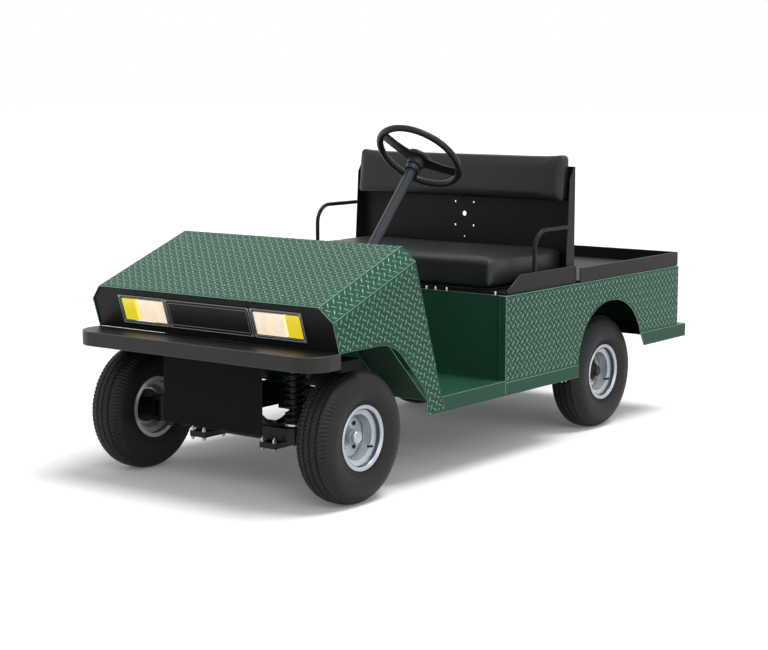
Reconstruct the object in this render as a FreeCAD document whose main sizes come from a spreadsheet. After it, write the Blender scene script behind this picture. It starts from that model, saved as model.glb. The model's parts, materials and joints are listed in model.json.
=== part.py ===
import FreeCAD, Part
import math
import os
import re
import Sketcher

# Small electric utility vehicle: a folded diamond-plate nose, an open two-seat bench and a flat load deck.
# Frame: +Z up, the front faces -Y, +X is the vehicle's left. The origin is on the ground, under the middle
# of the whole vehicle. Every length is in millimetres and every angle in degrees.

sizes = {
    "bodyHalf": 560, "skirtProud": 2, "sheet": 3, "floorTop": 313, "sillLow": 256, "beltTop": 630,
    "bumperFront": -1270, "bumperBack": -1128, "bumperLow": 486, "bumperTop": 538, "bumperCorner": 90,
    "bumperWall": 5,
    "noseFront": -1183, "noseTop": 692, "frontLean": 17.65, "hoodRake": 20.3, "hoodHalf": 509,
    "foldDrop": 52.7, "panelSetback": 6,
    "hoodRear": -730, "hoodRearTop": 859, "cowlFoot": -536,
    "archBreak": -839, "archTop": 538, "archBack": -641, "archElbow": 340,
    "archRoundFront": 183, "archRoundBack": 121,
    "toeFoot": -640, "toeTop": -865, "fireTop": 745, "gussetFoot": -735, "gussetKnee": -780,
    "gussetKneeLevel": 415, "gussetElbow": -858, "gussetNose": -960, "gussetTop": 530,
    "dashLow": 700, "dashInset": 12, "trimReach": 60,
    "lampLow": 562, "lampTop": 666, "lampMid": 195, "lampEnd": 425, "bezel": 10, "bezelProud": 4,
    "lampEdge": 13, "headLampWide": 130, "lampGap": 10, "lampDeep": 28,
    "apronHalf": 230, "apronFront": -1145, "apronLow": 224,
    "railHalf": 20, "railHeight": 48, "railX": 165, "railFront": 312, "railMid": 262, "railRear": 332,
    "railDropFront": -860, "railDropRear": -800, "railRiseFront": -120, "railRiseRear": -30,
    "barFirst": -700, "barSecond": -300, "barThird": 400, "barLast": 1100, "barDeep": 40,
    "noseBarDeep": 110, "noseBarHigh": 36,
    "boxFront": -145, "boxRecess": 12, "boxFlange": 30, "boxRear": 392, "beltFlange": 15,
    "sideRear": 1200, "rearLow": 320, "rearTop": 375, "rearEnd": 1270, "skirtTop": 306, "skirtDepth": 30,
    "wheelArchFront": 381, "wheelArchRear": 905, "wheelArchRadius": 241, "wheelArchFirst": 622,
    "wheelArchLast": 650, "wheelArchLevel": 297,
    "deckTop": 640, "deckHalf": 545, "railTop": 690, "railWall": 6, "seatDeckHalf": 538,
    "hatchHalf": 440, "hatchFront": -90, "hatchRear": 300, "batteryHalf": 420, "batteryFront": -85,
    "batteryRear": 300, "batteryLow": 380.5, "batteryTop": 600,
    "bracketOuter": 545, "bracketWall": 5, "bracketNose": -115, "bracketKnee": -27, "bracketTop": 700,
    "bracketRear": 375,
    "backHalf": 524, "backWall": 3, "backFace": 388, "backTop": 1086, "flangeLow": 330, "flangeHigh": 352,
    "flangeKnee": 1037, "boltAcross": 90, "boltUp": 95, "boltMiddle": 879.5, "boltHole": 4,
    "centreHole": 10, "lowHole": 786, "lowHoleRadius": 3,
    "cushionHalf": 514, "cushionLow": 941, "cushionTop": 1137, "cushionFaceLow": 317, "cushionFaceTop": 335,
    "seatHalf": 495, "seatFront": -155, "seatRear": 381, "seatLow": 652, "seatTop": 765,
    "lidHalf": 480, "lidLow": 641, "lidTop": 651.5, "lidFront": -130, "lidPin": 4.5, "lidPinHalf": 90,
    "lidPinMid": 330,
    "hipRod": 8, "hipX": 532, "hipFront": 88, "hipRear": 372, "hipBend": 75, "hipFoot": 655,
    "hipLeftTop": 862, "hipRightTop": 914,
    "columnX": 218, "wheelHubY": -228, "wheelHubZ": 1140, "columnLean": 42.4, "columnRadius": 19,
    "columnBore": 15, "columnLow": -1012, "columnHigh": -52, "collarRadius": 27, "collarLow": -70,
    "clipHalf": 22, "clipNear": 10, "clipFar": 34, "clipLow": -598, "clipHigh": -550,
    "rimRing": 160, "rimTube": 13.5, "hubRadius": 33, "hubDepth": 28, "hubShaft": 12,
    "spokeWide": 30, "spokeThick": 9, "shaftLow": -160,
    "gearHalf": 50, "gearFront": -1010, "gearRear": -920, "gearLow": 300, "gearTop": 372, "gearX": 237,
    "pitmanX": 264, "gearShaft": 9, "gearShaftLow": 270, "stubLow": 1066, "stubHigh": 1000, "stubRadius": 13,
    "pitmanLow": 274, "pitmanHub": 16, "linkRadius": 8,
    "kingpinX": 385, "kingpinRadius": 11, "fit": 0.05, "bossRadius": 22, "bossLow": 203, "bossTop": 261,
    "beamHalf": 25, "beamLow": 180, "beamTop": 230, "beamEnd": 352, "neckHalf": 17,
    "earRadius": 24, "earThick": 16, "earGap": 1, "armReach": 110, "armHalf": 9, "armThick": 12,
    "studRadius": 7, "tieLevel": 210, "dragLevel": 297, "tieRadius": 9, "ballRadius": 13, "ballHalf": 10,
    "webInner": 412, "webOuter": 424, "webHalf": 22,
    "spindleRadius": 14, "spindleEnd": 500,
    "frontAxle": -987, "rearAxle": 683, "axleLevel": 232, "frontWheelX": 482, "rearWheelX": 435,
    "tyreRadius": 232, "tyreHalf": 71, "beadRadius": 102, "rimRadius": 113, "rimHalf": 60, "rimWall": 3,
    "wellRadius": 82, "discOffset": -6,
    "hubFlange": 62, "hubBody": 30, "capRadius": 24,
    "springHalf": 22, "springThick": 14, "springReach": 125, "rearReach": 240,
    "shockX": 285, "shockY": -1040, "shockRod": 9, "shockBody": 22, "shockFoot": 246, "shockSplit": 330,
    "shockHead": 472,
    "tubeRadius": 35, "tubeEnd": 378, "motorHalf": 110, "motorFront": 440,
    "motorLow": 180, "motorTop": 330, "motorX": 0,
    "pedalThick": 8, "pedalFoot": -724, "pedalHead": -752, "pedalLift": 20, "brakeX": 140, "brakeHalf": 38,
    "speedX": 55, "speedHalf": 26, "stemHalf": 7,
}

doc = FreeCAD.newDocument("UtilityVehicle")
sheet = doc.addObject("Spreadsheet::Sheet", "Sizes")
for row, (alias, value) in enumerate(sizes.items(), start=1):
    sheet.set(f"A{row}", alias)
    sheet.set(f"B{row}", str(value))
    sheet.setAlias(f"B{row}", alias)
doc.recompute()

planes = {"x": "YZ_Plane", "y": "XZ_Plane", "z": "XY_Plane"}
sides = (("left", 1), ("right", -1))
pieces = []


def bound(expression):
    """Write the sheet's name before each alias of an expression."""
    named = re.sub(r"[A-Za-z]\w*", lambda word: f"Sizes.{word[0]}" if word[0] in sizes else word[0],
                   str(expression))
    return named


def number(expression):
    found = probe.evalExpression(bound(expression))
    return float(getattr(found, "Value", found))


probe = doc.addObject("App::FeaturePython", "Probe")


def newBody(label):
    body = doc.addObject("PartDesign::Body", label)
    body.Label = label
    pieces.append(body)
    return body


def newSketch(body, across, place="0", tilt=None, origin=("0", "0")):
    """A sketch across an axis, moved along it to place; tilt turns it about its own first axis."""
    plane = [item for item in body.Origin.OriginFeatures if item.Role == planes[across]][0]
    sketch = body.newObject("Sketcher::SketchObject", f"{body.Name}Sketch")
    sketch.AttachmentSupport = [(plane, "")]
    sketch.MapMode = "FlatFace"
    if tilt is not None:
        turn = FreeCAD.Rotation(FreeCAD.Vector(1, 0, 0), number(tilt))
        sketch.AttachmentOffset = FreeCAD.Placement(FreeCAD.Vector(), turn)
        sketch.setExpression("AttachmentOffset.Rotation.Angle", bound(tilt))
    sketch.setExpression("AttachmentOffset.Base.x", bound(origin[0]))
    sketch.setExpression("AttachmentOffset.Base.y", bound(origin[1]))
    sign = "-1" if across == "y" else "1"
    sketch.setExpression("AttachmentOffset.Base.z", bound(f"{sign} * ({place})"))
    return sketch


def pin(sketch, item, end, x, y):
    """Tie a point of the sketch to its two expressions."""
    for kind, expression, axis in (("DistanceX", x, -2), ("DistanceY", y, -1)):
        value = number(expression)
        if abs(value) < 1e-9:
            sketch.addConstraint(Sketcher.Constraint("PointOnObject", item, end, axis))
            continue
        index = sketch.addConstraint(Sketcher.Constraint(kind, -1, 1, item, end, value))
        sketch.setExpression(f"Constraints[{index}]", bound(expression))


def drawOutline(sketch, corners):
    """A closed outline. A corner is (x, y), or (x, y, radius, side) where an arc runs to the next one."""
    first = sketch.GeometryCount
    count = len(corners)
    places = [FreeCAD.Vector(number(corner[0]), number(corner[1]), 0) for corner in corners]
    for index, corner in enumerate(corners):
        here = places[index]
        there = places[(index + 1) % count]
        if len(corner) == 2:
            sketch.addGeometry(Part.LineSegment(here, there))
            continue
        radius = number(corner[2])
        chord = there - here
        across = FreeCAD.Vector(-chord.y, chord.x, 0).normalize()
        rise = radius - math.sqrt(max(radius ** 2 - (chord.Length / 2) ** 2, 0))
        middle = (here + there) * 0.5 + across * rise * corner[3]
        sketch.addGeometry(Part.Arc(here, middle, there))
    for index, corner in enumerate(corners):
        item = first + index
        start = 1
        if len(corner) == 4 and corner[3] > 0:
            start = 2
        pin(sketch, item, start, corner[0], corner[1])
    for index, corner in enumerate(corners):
        item = first + index
        following = first + (index + 1) % count
        end = 1 if len(corner) == 4 and corner[3] > 0 else 2
        after = corners[(index + 1) % count]
        start = 2 if len(after) == 4 and after[3] > 0 else 1
        sketch.addConstraint(Sketcher.Constraint("Coincident", item, end, following, start))
        if len(corner) == 4:
            constraint = sketch.addConstraint(Sketcher.Constraint("Radius", item, number(corner[2])))
            sketch.setExpression(f"Constraints[{constraint}]", bound(corner[2]))


def drawCircle(sketch, x, y, radius):
    centre = FreeCAD.Vector(number(x), number(y), 0)
    item = sketch.addGeometry(Part.Circle(centre, FreeCAD.Vector(0, 0, 1), number(radius)))
    pin(sketch, item, 3, x, y)
    index = sketch.addConstraint(Sketcher.Constraint("Radius", item, number(radius)))
    sketch.setExpression(f"Constraints[{index}]", bound(radius))


def padded(body, sketch, length, across):
    """Pad a sketch towards the positive side of its axis."""
    pad = body.newObject("PartDesign::Pad", f"{body.Name}Pad")
    pad.Profile = sketch
    pad.Length = number(length)
    pad.setExpression("Length", bound(length))
    pad.Reversed = across == "y"
    doc.recompute()
    return pad


def cutAway(body, sketch, length=None, across=None):
    """Cut a sketch out of the whole body, or only for a length towards the positive side of its axis."""
    before = body.Shape.Volume
    pocket = body.newObject("PartDesign::Pocket", f"{body.Name}Pocket")
    pocket.Profile = sketch
    if length is None:
        pocket.Type = "ThroughAll"
        pocket.SideType = "Symmetric"
    else:
        pocket.setExpression("Length", bound(length))
        pocket.Reversed = across != "y"
    doc.recompute()
    if not body.Shape.Volume < before - 1e-3:
        raise RuntimeError(f"{body.Label}: a pocket cut nothing")
    return pocket


def plate(body, across, start, length, *corners):
    """Pad an outline from start, by length, along the axis."""
    sketch = newSketch(body, across, start)
    drawOutline(sketch, corners)
    return padded(body, sketch, length, across)


def box(body, low, high):
    """A block between two corners, each a triple of expressions."""
    (x0, y0, z0), (x1, y1, z1) = low, high
    return plate(body, "z", z0, f"({z1}) - ({z0})", (x0, y0), (x1, y0), (x1, y1), (x0, y1))


def rod(body, across, start, length, x, y, radius):
    """A round bar along an axis; x and y are its place on the other two axes."""
    sketch = newSketch(body, across, start)
    drawCircle(sketch, x, y, radius)
    return padded(body, sketch, length, across)


def window(body, across, *corners):
    """Cut an outline through everything along the axis."""
    sketch = newSketch(body, across)
    drawOutline(sketch, corners)
    return cutAway(body, sketch)


def bore(body, across, x, y, radius):
    sketch = newSketch(body, across)
    drawCircle(sketch, x, y, radius)
    return cutAway(body, sketch)


def turned(body, *corners):
    """Turn an outline of (x, radius) corners about the X axis of the body."""
    sketch = newSketch(body, "y")
    drawOutline(sketch, corners)
    turn = body.newObject("PartDesign::Revolution", f"{body.Name}Turn")
    turn.Profile = sketch
    turn.ReferenceAxis = (sketch, ["H_Axis"])
    turn.Angle = 360
    doc.recompute()
    return turn


def roundEdges(body, radius, *spots):
    """Round the edges whose middle lies at a spot; None leaves that coordinate free."""
    base = body.Tip
    names = []
    for index, edge in enumerate(base.Shape.Edges, start=1):
        middle = edge.CenterOfMass
        for spot in spots:
            gaps = [abs(place - number(wanted)) for place, wanted in zip(middle, spot) if wanted is not None]
            if max(gaps) < 0.5:
                names.append(f"Edge{index}")
    if not names:
        raise RuntimeError(f"{body.Label}: no edge to round")
    fillet = body.newObject("PartDesign::Fillet", f"{body.Name}Fillet")
    fillet.Base = (base, names)
    fillet.Radius = number(radius)
    fillet.setExpression("Radius", bound(radius))
    doc.recompute()
    return fillet


def placed(body, x="0", y="0", z="0"):
    """Move a finished body to its place."""
    for axis, expression in (("x", x), ("y", y), ("z", z)):
        body.setExpression(f"Placement.Base.{axis}", bound(expression))


def sideSpan(side, inner, outer):
    """Start and length along X of something between two distances from the middle, on one side."""
    start = f"({inner})" if side > 0 else f"-({outer})"
    return start, f"({outer}) - ({inner})"


skin = "(bodyHalf - skirtProud)"
frontSlope = "tan(frontLean)"
rearSlope = "((cowlFoot - hoodRear) / (hoodRearTop - sillLow))"
rakeSlope = "tan(hoodRake)"


def noseAt(level, setback="0"):
    """Y of the leaning front face at a level."""
    return f"(noseFront + (noseTop - ({level})) * {frontSlope} + {setback})"


def cowlRearAt(level, setback="0"):
    """Y of the cowl's leaning rear edge at a level."""
    return f"(hoodRear + (hoodRearTop - ({level})) * {rearSlope} + {setback})"


def cutNoseEnds(body):
    """Trim the folded hood to the leaning front face and to its leaning rear edge."""
    low = "archTop - 100"
    high = "hoodRearTop + 100"
    window(body, "x", ("bumperFront", high), (noseAt(high), high), (noseAt(low), low),
           ("bumperFront - 100", low))
    window(body, "x", ("0", high), ("0", low), (cowlRearAt(low), low), (cowlRearAt(high), high))


def trimCorners(body, level, gap):
    """Cut both upper corners of an upright panel along the hood's folded edges."""
    high = f"({level} + trimReach)"
    low = f"({level} - 3 * trimReach)"
    for side in (1, -1):
        near = f"{side} * (hoodHalf - {gap} - trimReach)"
        far = f"{side} * (hoodHalf - {gap} + 3 * trimReach)"
        window(body, "y", (near, high), (far, low), (far, high))


def makeCowlTop():
    """Sloping hood and its two folded edges, drawn square to the slope."""
    body = newBody("cowl_top")
    reach = "60"
    sketch = newSketch(body, "y", f"noseFront - {reach} * cos(hoodRake)", "hoodRake",
                       ("0", f"noseTop - {reach} * sin(hoodRake)"))
    inner = "(sheet * tan(22.5))"
    drawOutline(sketch, (
        (f"-{skin}", "-foldDrop"), ("-hoodHalf", "0"), ("hoodHalf", "0"), (skin, "-foldDrop"),
        (f"{skin} - sheet", "-foldDrop"), (f"hoodHalf - {inner}", "-sheet"),
        (f"-hoodHalf + {inner}", "-sheet"), (f"-{skin} + sheet", "-foldDrop")))
    padded(body, sketch, f"hoodRear - noseFront + 3 * {reach}", "y")
    cutNoseEnds(body)


def makeCowlSides():
    """Side sheets with the front wheel arch and the leaning rear edge."""
    foldLine = f"(noseTop - foldDrop / cos(hoodRake) - {rakeSlope} * noseFront)"
    # the fold line meets the leaning front face where both heights agree
    frontY = f"((noseFront + (noseTop - {foldLine}) * {frontSlope}) / (1 + {rakeSlope} * {frontSlope}))"
    rearY = f"((hoodRear + (hoodRearTop - {foldLine}) * {rearSlope}) / (1 + {rakeSlope} * {rearSlope}))"
    for name, side in sides:
        body = newBody(f"cowl_side_{name}")
        start, length = sideSpan(side, f"{skin} - sheet", skin)
        plate(body, "x", start, length,
              (frontY, f"{foldLine} + {rakeSlope} * {frontY}"), (noseAt("archTop"), "archTop"),
              ("archBreak", "archTop"), ("archBack", "archElbow"), ("archBack", "sillLow"),
              ("cowlFoot", "sillLow"), (rearY, f"{foldLine} + {rakeSlope} * {rearY}"))
        roundEdges(body, "archRoundFront", (None, "archBreak", "archTop"))
        roundEdges(body, "archRoundBack", (None, "archBack", "archElbow"))


def makeFrontPanel():
    """Black panel that closes the nose, set back inside the cowl's edge."""
    body = newBody("front_panel")
    low = "bumperTop + 0.5"
    top = "noseTop - 6"
    half = f"{skin} - sheet - 1"
    back = "panelSetback + sheet"
    plate(body, "x", f"-({half})", f"2 * ({half})",
          (noseAt(low, "panelSetback"), low), (noseAt(low, back), low),
          (noseAt(top, back), top), (noseAt(top, "panelSetback"), top))
    trimCorners(body, "noseTop", "6")
    for side in (1, -1):
        near = f"{side} * (lampMid + lampEdge - 2)"
        far = f"{side} * (lampEnd - lampEdge + 2)"
        window(body, "y", (near, "lampLow + lampEdge - 2"), (far, "lampLow + lampEdge - 2"),
               (far, "lampTop - lampEdge + 2"), (near, "lampTop - lampEdge + 2"))


def frameOnNose(body, left, right, low, top, border):
    """A flat frame lying on the leaning front panel."""
    front = "panelSetback - bezelProud"
    plate(body, "x", left, f"({right}) - ({left})",
          (noseAt(low, front), low), (noseAt(low, "panelSetback - 0.2"), low),
          (noseAt(top, "panelSetback - 0.2"), top), (noseAt(top, front), top))
    near, far = f"{left} + {border}", f"{right} - {border}"
    window(body, "y", (near, f"{low} + {border}"), (far, f"{low} + {border}"), (far, f"{top} - {border}"),
           (near, f"{top} - {border}"))


def slabOnNose(body, left, right, low, top, front, back):
    """A flat block along the leaning front face, between two setbacks."""
    plate(body, "x", left, f"({right}) - ({left})",
          (noseAt(low, front), low), (noseAt(low, back), low), (noseAt(top, back), top),
          (noseAt(top, front), top))


def makeNoseFittings():
    """Lamp bezels, the bare middle plate and the four lamp lenses."""
    for name, side in sides:
        body = newBody(f"lamp_bezel_{name}")
        ends = ("lampMid + 3", "lampEnd") if side > 0 else ("-lampEnd", "-lampMid - 3")
        frameOnNose(body, ends[0], ends[1], "lampLow", "lampTop", "bezel")
    slabOnNose(newBody("nose_plate"), "-lampMid", "lampMid", "lampLow", "lampTop",
               "panelSetback - bezelProud", "panelSetback - 0.2")
    lamps = newBody("front_lamps")
    first = "lampMid + lampEdge + 2"
    for side in (1, -1):
        for near, far in ((first, f"{first} + headLampWide"),
                          (f"{first} + headLampWide + lampGap", "lampEnd - lampEdge")):
            left, right = (near, far) if side > 0 else (f"-({far})", f"-({near})")
            slabOnNose(lamps, left, right, "lampLow + lampEdge", "lampTop - lampEdge", "panelSetback - 1",
                       "panelSetback + lampDeep")


def makeBumper():
    """Shelf bumper: a folded channel, open at the back, with round front corners."""
    body = newBody("front_bumper")
    plate(body, "z", "bumperLow", "bumperTop - bumperLow",
          ("-bodyHalf", "bumperBack"), ("-bodyHalf", "bumperFront + bumperCorner", "bumperCorner", -1),
          ("-bodyHalf + bumperCorner", "bumperFront"),
          ("bodyHalf - bumperCorner", "bumperFront", "bumperCorner", -1),
          ("bodyHalf", "bumperFront + bumperCorner"), ("bodyHalf", "bumperBack"))
    sketch = newSketch(body, "z", "bumperLow + bumperWall")
    corner = "bumperCorner - bumperWall"
    drawOutline(sketch, (
        ("-bodyHalf + bumperWall", "bumperBack + 10"),
        ("-bodyHalf + bumperWall", "bumperFront + bumperCorner", corner, -1),
        ("-bodyHalf + bumperCorner", "bumperFront + bumperWall"),
        ("bodyHalf - bumperCorner", "bumperFront + bumperWall", corner, -1),
        ("bodyHalf - bumperWall", "bumperFront + bumperCorner"),
        ("bodyHalf - bumperWall", "bumperBack + 10")))
    cutAway(body, sketch, "bumperTop - bumperLow - 2 * bumperWall", "z")


def makeApron():
    """Plate below the bumper, ahead of the axle."""
    body = newBody("front_apron")
    box(body, ("-apronHalf", "apronFront", "apronLow"), ("apronHalf", "apronFront + sheet", "bumperLow"))


def makeFloor():
    """Foot floor with its two folded sills."""
    body = newBody("floor_pan")
    edge = f"{skin} - sheet - 0.5"
    box(body, (f"-({edge})", "toeFoot", "floorTop - sheet"), (edge, "boxFront - sheet", "floorTop"))
    for name, side in sides:
        start, length = sideSpan(side, edge, "bodyHalf")
        plate(body, "x", start, length,
              (cowlRearAt("sillLow", "1"), "sillLow"), ("boxFront - sheet", "sillLow"),
              ("boxFront - sheet", "floorTop"), (cowlRearAt("floorTop", "1"), "floorTop"))


def makeToeBoard():
    """Sloping toe board, the upright sheet above it and two gussets beside the front wheels."""
    body = newBody("toe_board")
    edge = f"{skin} - sheet - 0.5"
    bend = "floorTop + toeFoot - toeTop"
    thick = "sheet * sqrt(2)"
    plate(body, "x", f"-({edge})", f"2 * ({edge})",
          ("toeFoot", "floorTop - sheet"), ("toeFoot", "floorTop"), ("toeTop", bend), ("toeTop", "fireTop"),
          ("toeTop - sheet", "fireTop"), ("toeTop - sheet", f"{bend} - {thick} + sheet"),
          ("toeFoot - sheet", f"floorTop - {thick} + sheet"), ("toeFoot - sheet", "floorTop - sheet"))
    under = f"floorTop - {thick} + toeFoot + 0.5"
    for name, side in sides:
        start, length = sideSpan(side, "kingpinX - sheet", "kingpinX")
        plate(body, "x", start, length,
              ("gussetFoot", f"{under} - gussetFoot"), ("gussetKnee", "gussetKneeLevel"),
              ("gussetElbow", "shockHead"), ("gussetNose", "shockHead"), ("gussetNose", "gussetTop"),
              ("toeTop", f"{under} - toeTop"))
    sketch = newSketch(body, "y", "wheelHubY", "90 - columnLean", ("columnX", "wheelHubZ"))
    drawCircle(sketch, "0", "0", "columnRadius + 7")
    cutAway(body, sketch)


def makeDash():
    """Panel under the hood's rear edge, with the arm that holds the steering column."""
    body = newBody("dash_panel")
    half = f"{skin} - sheet - 1"
    top = "hoodRearTop - 12"
    front = "-dashInset"
    back = "-dashInset + sheet"
    plate(body, "x", f"-({half})", f"2 * ({half})",
          (cowlRearAt("dashLow", front), "dashLow"), (cowlRearAt("dashLow", back), "dashLow"),
          (cowlRearAt(top, back), top), (cowlRearAt(top, front), top))
    trimCorners(body, "hoodRearTop", "10")


def makeRails():
    """Two frame rails, stepped over the front axle and again over the rear axle."""
    body = newBody("frame_rails")
    for name, side in sides:
        start, length = sideSpan(side, "railX - railHalf", "railX + railHalf")
        low = [("apronFront + sheet", "railFront"), ("railDropFront", "railFront"),
               ("railDropRear", "railMid"), ("railRiseFront", "railMid"), ("railRiseRear", "railRear"),
               ("sideRear - sheet", "railRear")]
        top = [(y, f"{z} + railHeight") for y, z in reversed(low)]
        plate(body, "x", start, length, *low, *top)


def makeCrossmembers():
    """Bars that tie the rails together and carry the body sides, the nose and the deck."""
    body = newBody("frame_crossmembers")
    inner = "railX - railHalf"
    outer = "railX + railHalf"
    edge = "bodyHalf - skirtDepth - skirtProud"
    bars = (("barFirst", "railMid", "kingpinX"), ("barSecond", "railMid", edge),
            ("barThird", "railRear", edge), ("barLast", "railRear", edge))
    for front, low, reach in bars:
        top = f"{low} + railHeight"
        box(body, (f"-({inner})", front, low), (inner, f"{front} + barDeep", top))
        for side in (1, -1):
            ends = (outer, reach) if side > 0 else (f"-({reach})", f"-({outer})")
            box(body, (ends[0], front, low), (ends[1], f"{front} + barDeep", top))
    box(body, ("-bodyHalf + sheet + 4", "bumperBack + 8", "shockHead"),
        ("bodyHalf - sheet - 4", "bumperBack + 8 + noseBarDeep", "shockHead + noseBarHigh"))
    for side in (1, -1):
        middle = f"{side} * railX"
        box(body, (f"{middle} - railHalf", "apronFront + sheet", "railFront + railHeight"),
            (f"{middle} + railHalf", "apronFront + sheet + barDeep", "shockHead"))


def makeSeatBox():
    """Plain panel that closes the box under the bench."""
    body = newBody("seat_box_front")
    face = "boxFront + boxRecess"
    edge = f"{skin} - sheet - 1"
    box(body, (f"-({edge})", face, "sillLow + sheet + 1"), (edge, f"{face} + sheet", "beltTop"))
    for side in (1, -1):
        near = f"{side} * (railX - railHalf - 2)"
        far = f"{side} * (railX + railHalf + 2)"
        window(body, "y", (near, "sillLow"), (far, "sillLow"), (far, "floorTop - 1"), (near, "floorTop - 1"))


def makeBodySides():
    """Side sheets of the body, with a front return flange, a belt flange and the rear wheel arch."""
    outer = "bodyHalf - skirtProud"
    inner = f"{outer} - sheet"
    for name, side in sides:
        body = newBody(f"body_side_{name}")
        start, length = sideSpan(side, inner, outer)
        plate(body, "x", start, length,
              ("boxFront", "skirtTop - 40"), ("wheelArchFront", "skirtTop - 40"),
              ("wheelArchFront", "wheelArchLevel", "wheelArchRadius", 1),
              ("wheelArchFirst", "wheelArchLevel + wheelArchRadius"),
              ("wheelArchLast", "wheelArchLevel + wheelArchRadius", "wheelArchRadius", 1),
              ("wheelArchLast + wheelArchRadius * cos(18)", "wheelArchLevel + wheelArchRadius * sin(18)"),
              ("wheelArchRear", "rearLow + 4"), ("sideRear", "rearLow + 4"), ("sideRear", "beltTop"),
              ("boxFront", "beltTop"))
        start, length = sideSpan(side, f"{outer} - boxFlange", inner)
        plate(body, "x", start, length, ("boxFront", "floorTop + 0.5"),
              ("boxFront + sheet", "floorTop + 0.5"), ("boxFront + sheet", "beltTop"),
              ("boxFront", "beltTop"))
        start, length = sideSpan(side, f"{outer} - beltFlange", inner)
        plate(body, "x", start, length, ("boxFront + boxRecess + 8", "beltTop - sheet"),
              ("sideRear - sheet - 1", "beltTop - sheet"), ("sideRear - sheet - 1", "beltTop"),
              ("boxFront + boxRecess + 8", "beltTop"))


def makeSills():
    """Side channels below the sheets, ahead of the rear wheels."""
    body = newBody("side_sills")
    for name, side in sides:
        start, length = sideSpan(side, "bodyHalf - skirtProud", "bodyHalf")
        plate(body, "x", start, length, ("boxFront", "sillLow"), ("wheelArchFront", "sillLow"),
              ("wheelArchFront", "skirtTop"), ("boxFront", "skirtTop"))
        start, length = sideSpan(side, "bodyHalf - skirtProud - skirtDepth", "bodyHalf - skirtProud")
        plate(body, "x", start, length, ("boxFront", "sillLow"), ("wheelArchFront", "sillLow"),
              ("wheelArchFront", "sillLow + sheet"), ("boxFront", "sillLow + sheet"))


def makeRearBumper():
    """Rear channel that wraps forward along both sides to the wheel arches."""
    body = newBody("rear_bumper")
    box(body, ("-bodyHalf", "sideRear", "rearLow"), ("bodyHalf", "rearEnd", "rearTop"))
    for name, side in sides:
        start, length = sideSpan(side, "bodyHalf - skirtProud", "bodyHalf")
        plate(body, "x", start, length, ("wheelArchRear - 26", "rearTop"), ("wheelArchRear", "rearLow"),
              ("sideRear", "rearLow"), ("sideRear", "rearTop"))


def makeRearPanel():
    body = newBody("rear_panel")
    edge = "bodyHalf - skirtProud - sheet - 0.5"
    box(body, (f"-({edge})", "sideRear - sheet", "rearTop - 55"), (edge, "sideRear", "beltTop"))


def makeDeck():
    """Load floor and the low rails round it."""
    floor = newBody("deck_floor")
    box(floor, ("-deckHalf", "boxRear", "deckTop - sheet"),
        ("deckHalf", "sideRear - sheet - railWall", "deckTop"))
    rails = newBody("deck_rails")
    outer = "bodyHalf - skirtProud - sheet"
    for name, side in sides:
        start, length = sideSpan(side, f"{outer} - railWall", outer)
        plate(rails, "x", start, length, ("boxRear", "beltTop + 2"), ("sideRear - sheet", "beltTop + 2"),
              ("sideRear - sheet", "railTop"), ("boxRear", "railTop"))
    box(rails, (f"-({outer}) + railWall", "sideRear - sheet - railWall", "beltTop + 2"),
        (f"{outer} - railWall", "sideRear - sheet", "railTop"))


def makeSeatDeck():
    """Top of the seat box, with the hatch to the batteries, and the battery block below it."""
    body = newBody("seat_deck")
    box(body, ("-seatDeckHalf", "boxFront + boxRecess + sheet + 0.5", "beltTop"),
        ("seatDeckHalf", "boxRear - 5", "deckTop"))
    window(body, "z", ("-hatchHalf", "hatchFront"), ("hatchHalf", "hatchFront"), ("hatchHalf", "hatchRear"),
           ("-hatchHalf", "hatchRear"))
    block = newBody("battery_block")
    box(block, ("-batteryHalf", "batteryFront", "batteryLow"), ("batteryHalf", "batteryRear", "batteryTop"))


def makeSeatBrackets():
    """Plates beside the bench that carry the hip rails."""
    body = newBody("seat_brackets")
    for name, side in sides:
        start, length = sideSpan(side, "bracketOuter - bracketWall", "bracketOuter")
        plate(body, "x", start, length, ("bracketNose", "beltTop + 2"), ("bracketRear", "beltTop + 2"),
              ("bracketRear", "bracketTop"), ("bracketKnee", "bracketTop"), ("bracketNose", "beltTop + 18"))


def makeBackPanel():
    """Steel back with folded side flanges, a four-bolt pattern and a centre hole."""
    body = newBody("back_panel")
    back = "backFace + backWall"
    box(body, ("-backHalf", "backFace", "deckTop"), ("backHalf", back, "backTop"))
    for name, side in sides:
        start, length = sideSpan(side, "backHalf - backWall", "backHalf")
        plate(body, "x", start, length, ("flangeLow", "bracketTop - 8"), ("backFace", "bracketTop - 8"),
              ("backFace", "backTop"), ("backFace - 6", "backTop"), ("flangeHigh", "flangeKnee"))
    for x in (-1, 1):
        for z in (-1, 1):
            bore(body, "y", f"{x} * boltAcross / 2", f"boltMiddle + {z} * boltUp / 2", "boltHole")
    bore(body, "y", "0", "boltMiddle", "centreHole")
    bore(body, "y", "0", "lowHole", "lowHoleRadius")


def makeCushions():
    """Plain solids of the two pads."""
    back = newBody("back_cushion")
    rest = "backFace - 0.5"
    plate(back, "x", "-cushionHalf", "2 * cushionHalf", ("cushionFaceLow", "cushionLow"),
          (rest, "cushionLow"), (rest, "cushionTop"), ("cushionFaceTop", "cushionTop"))
    seat = newBody("seat_cushion")
    box(seat, ("-seatHalf", "seatFront", "seatLow"), ("seatHalf", "seatRear", "seatTop"))
    lid = newBody("seat_lid")
    box(lid, ("-lidHalf", "lidFront", "lidLow"), ("lidHalf", "seatRear - 6", "lidTop"))
    for side in (1, -1):
        start = f"{side} * lidPinMid - lidPinHalf"
        rod(lid, "x", start, "2 * lidPinHalf", "lidFront", "lidLow + lidPin", "lidPin")


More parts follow.
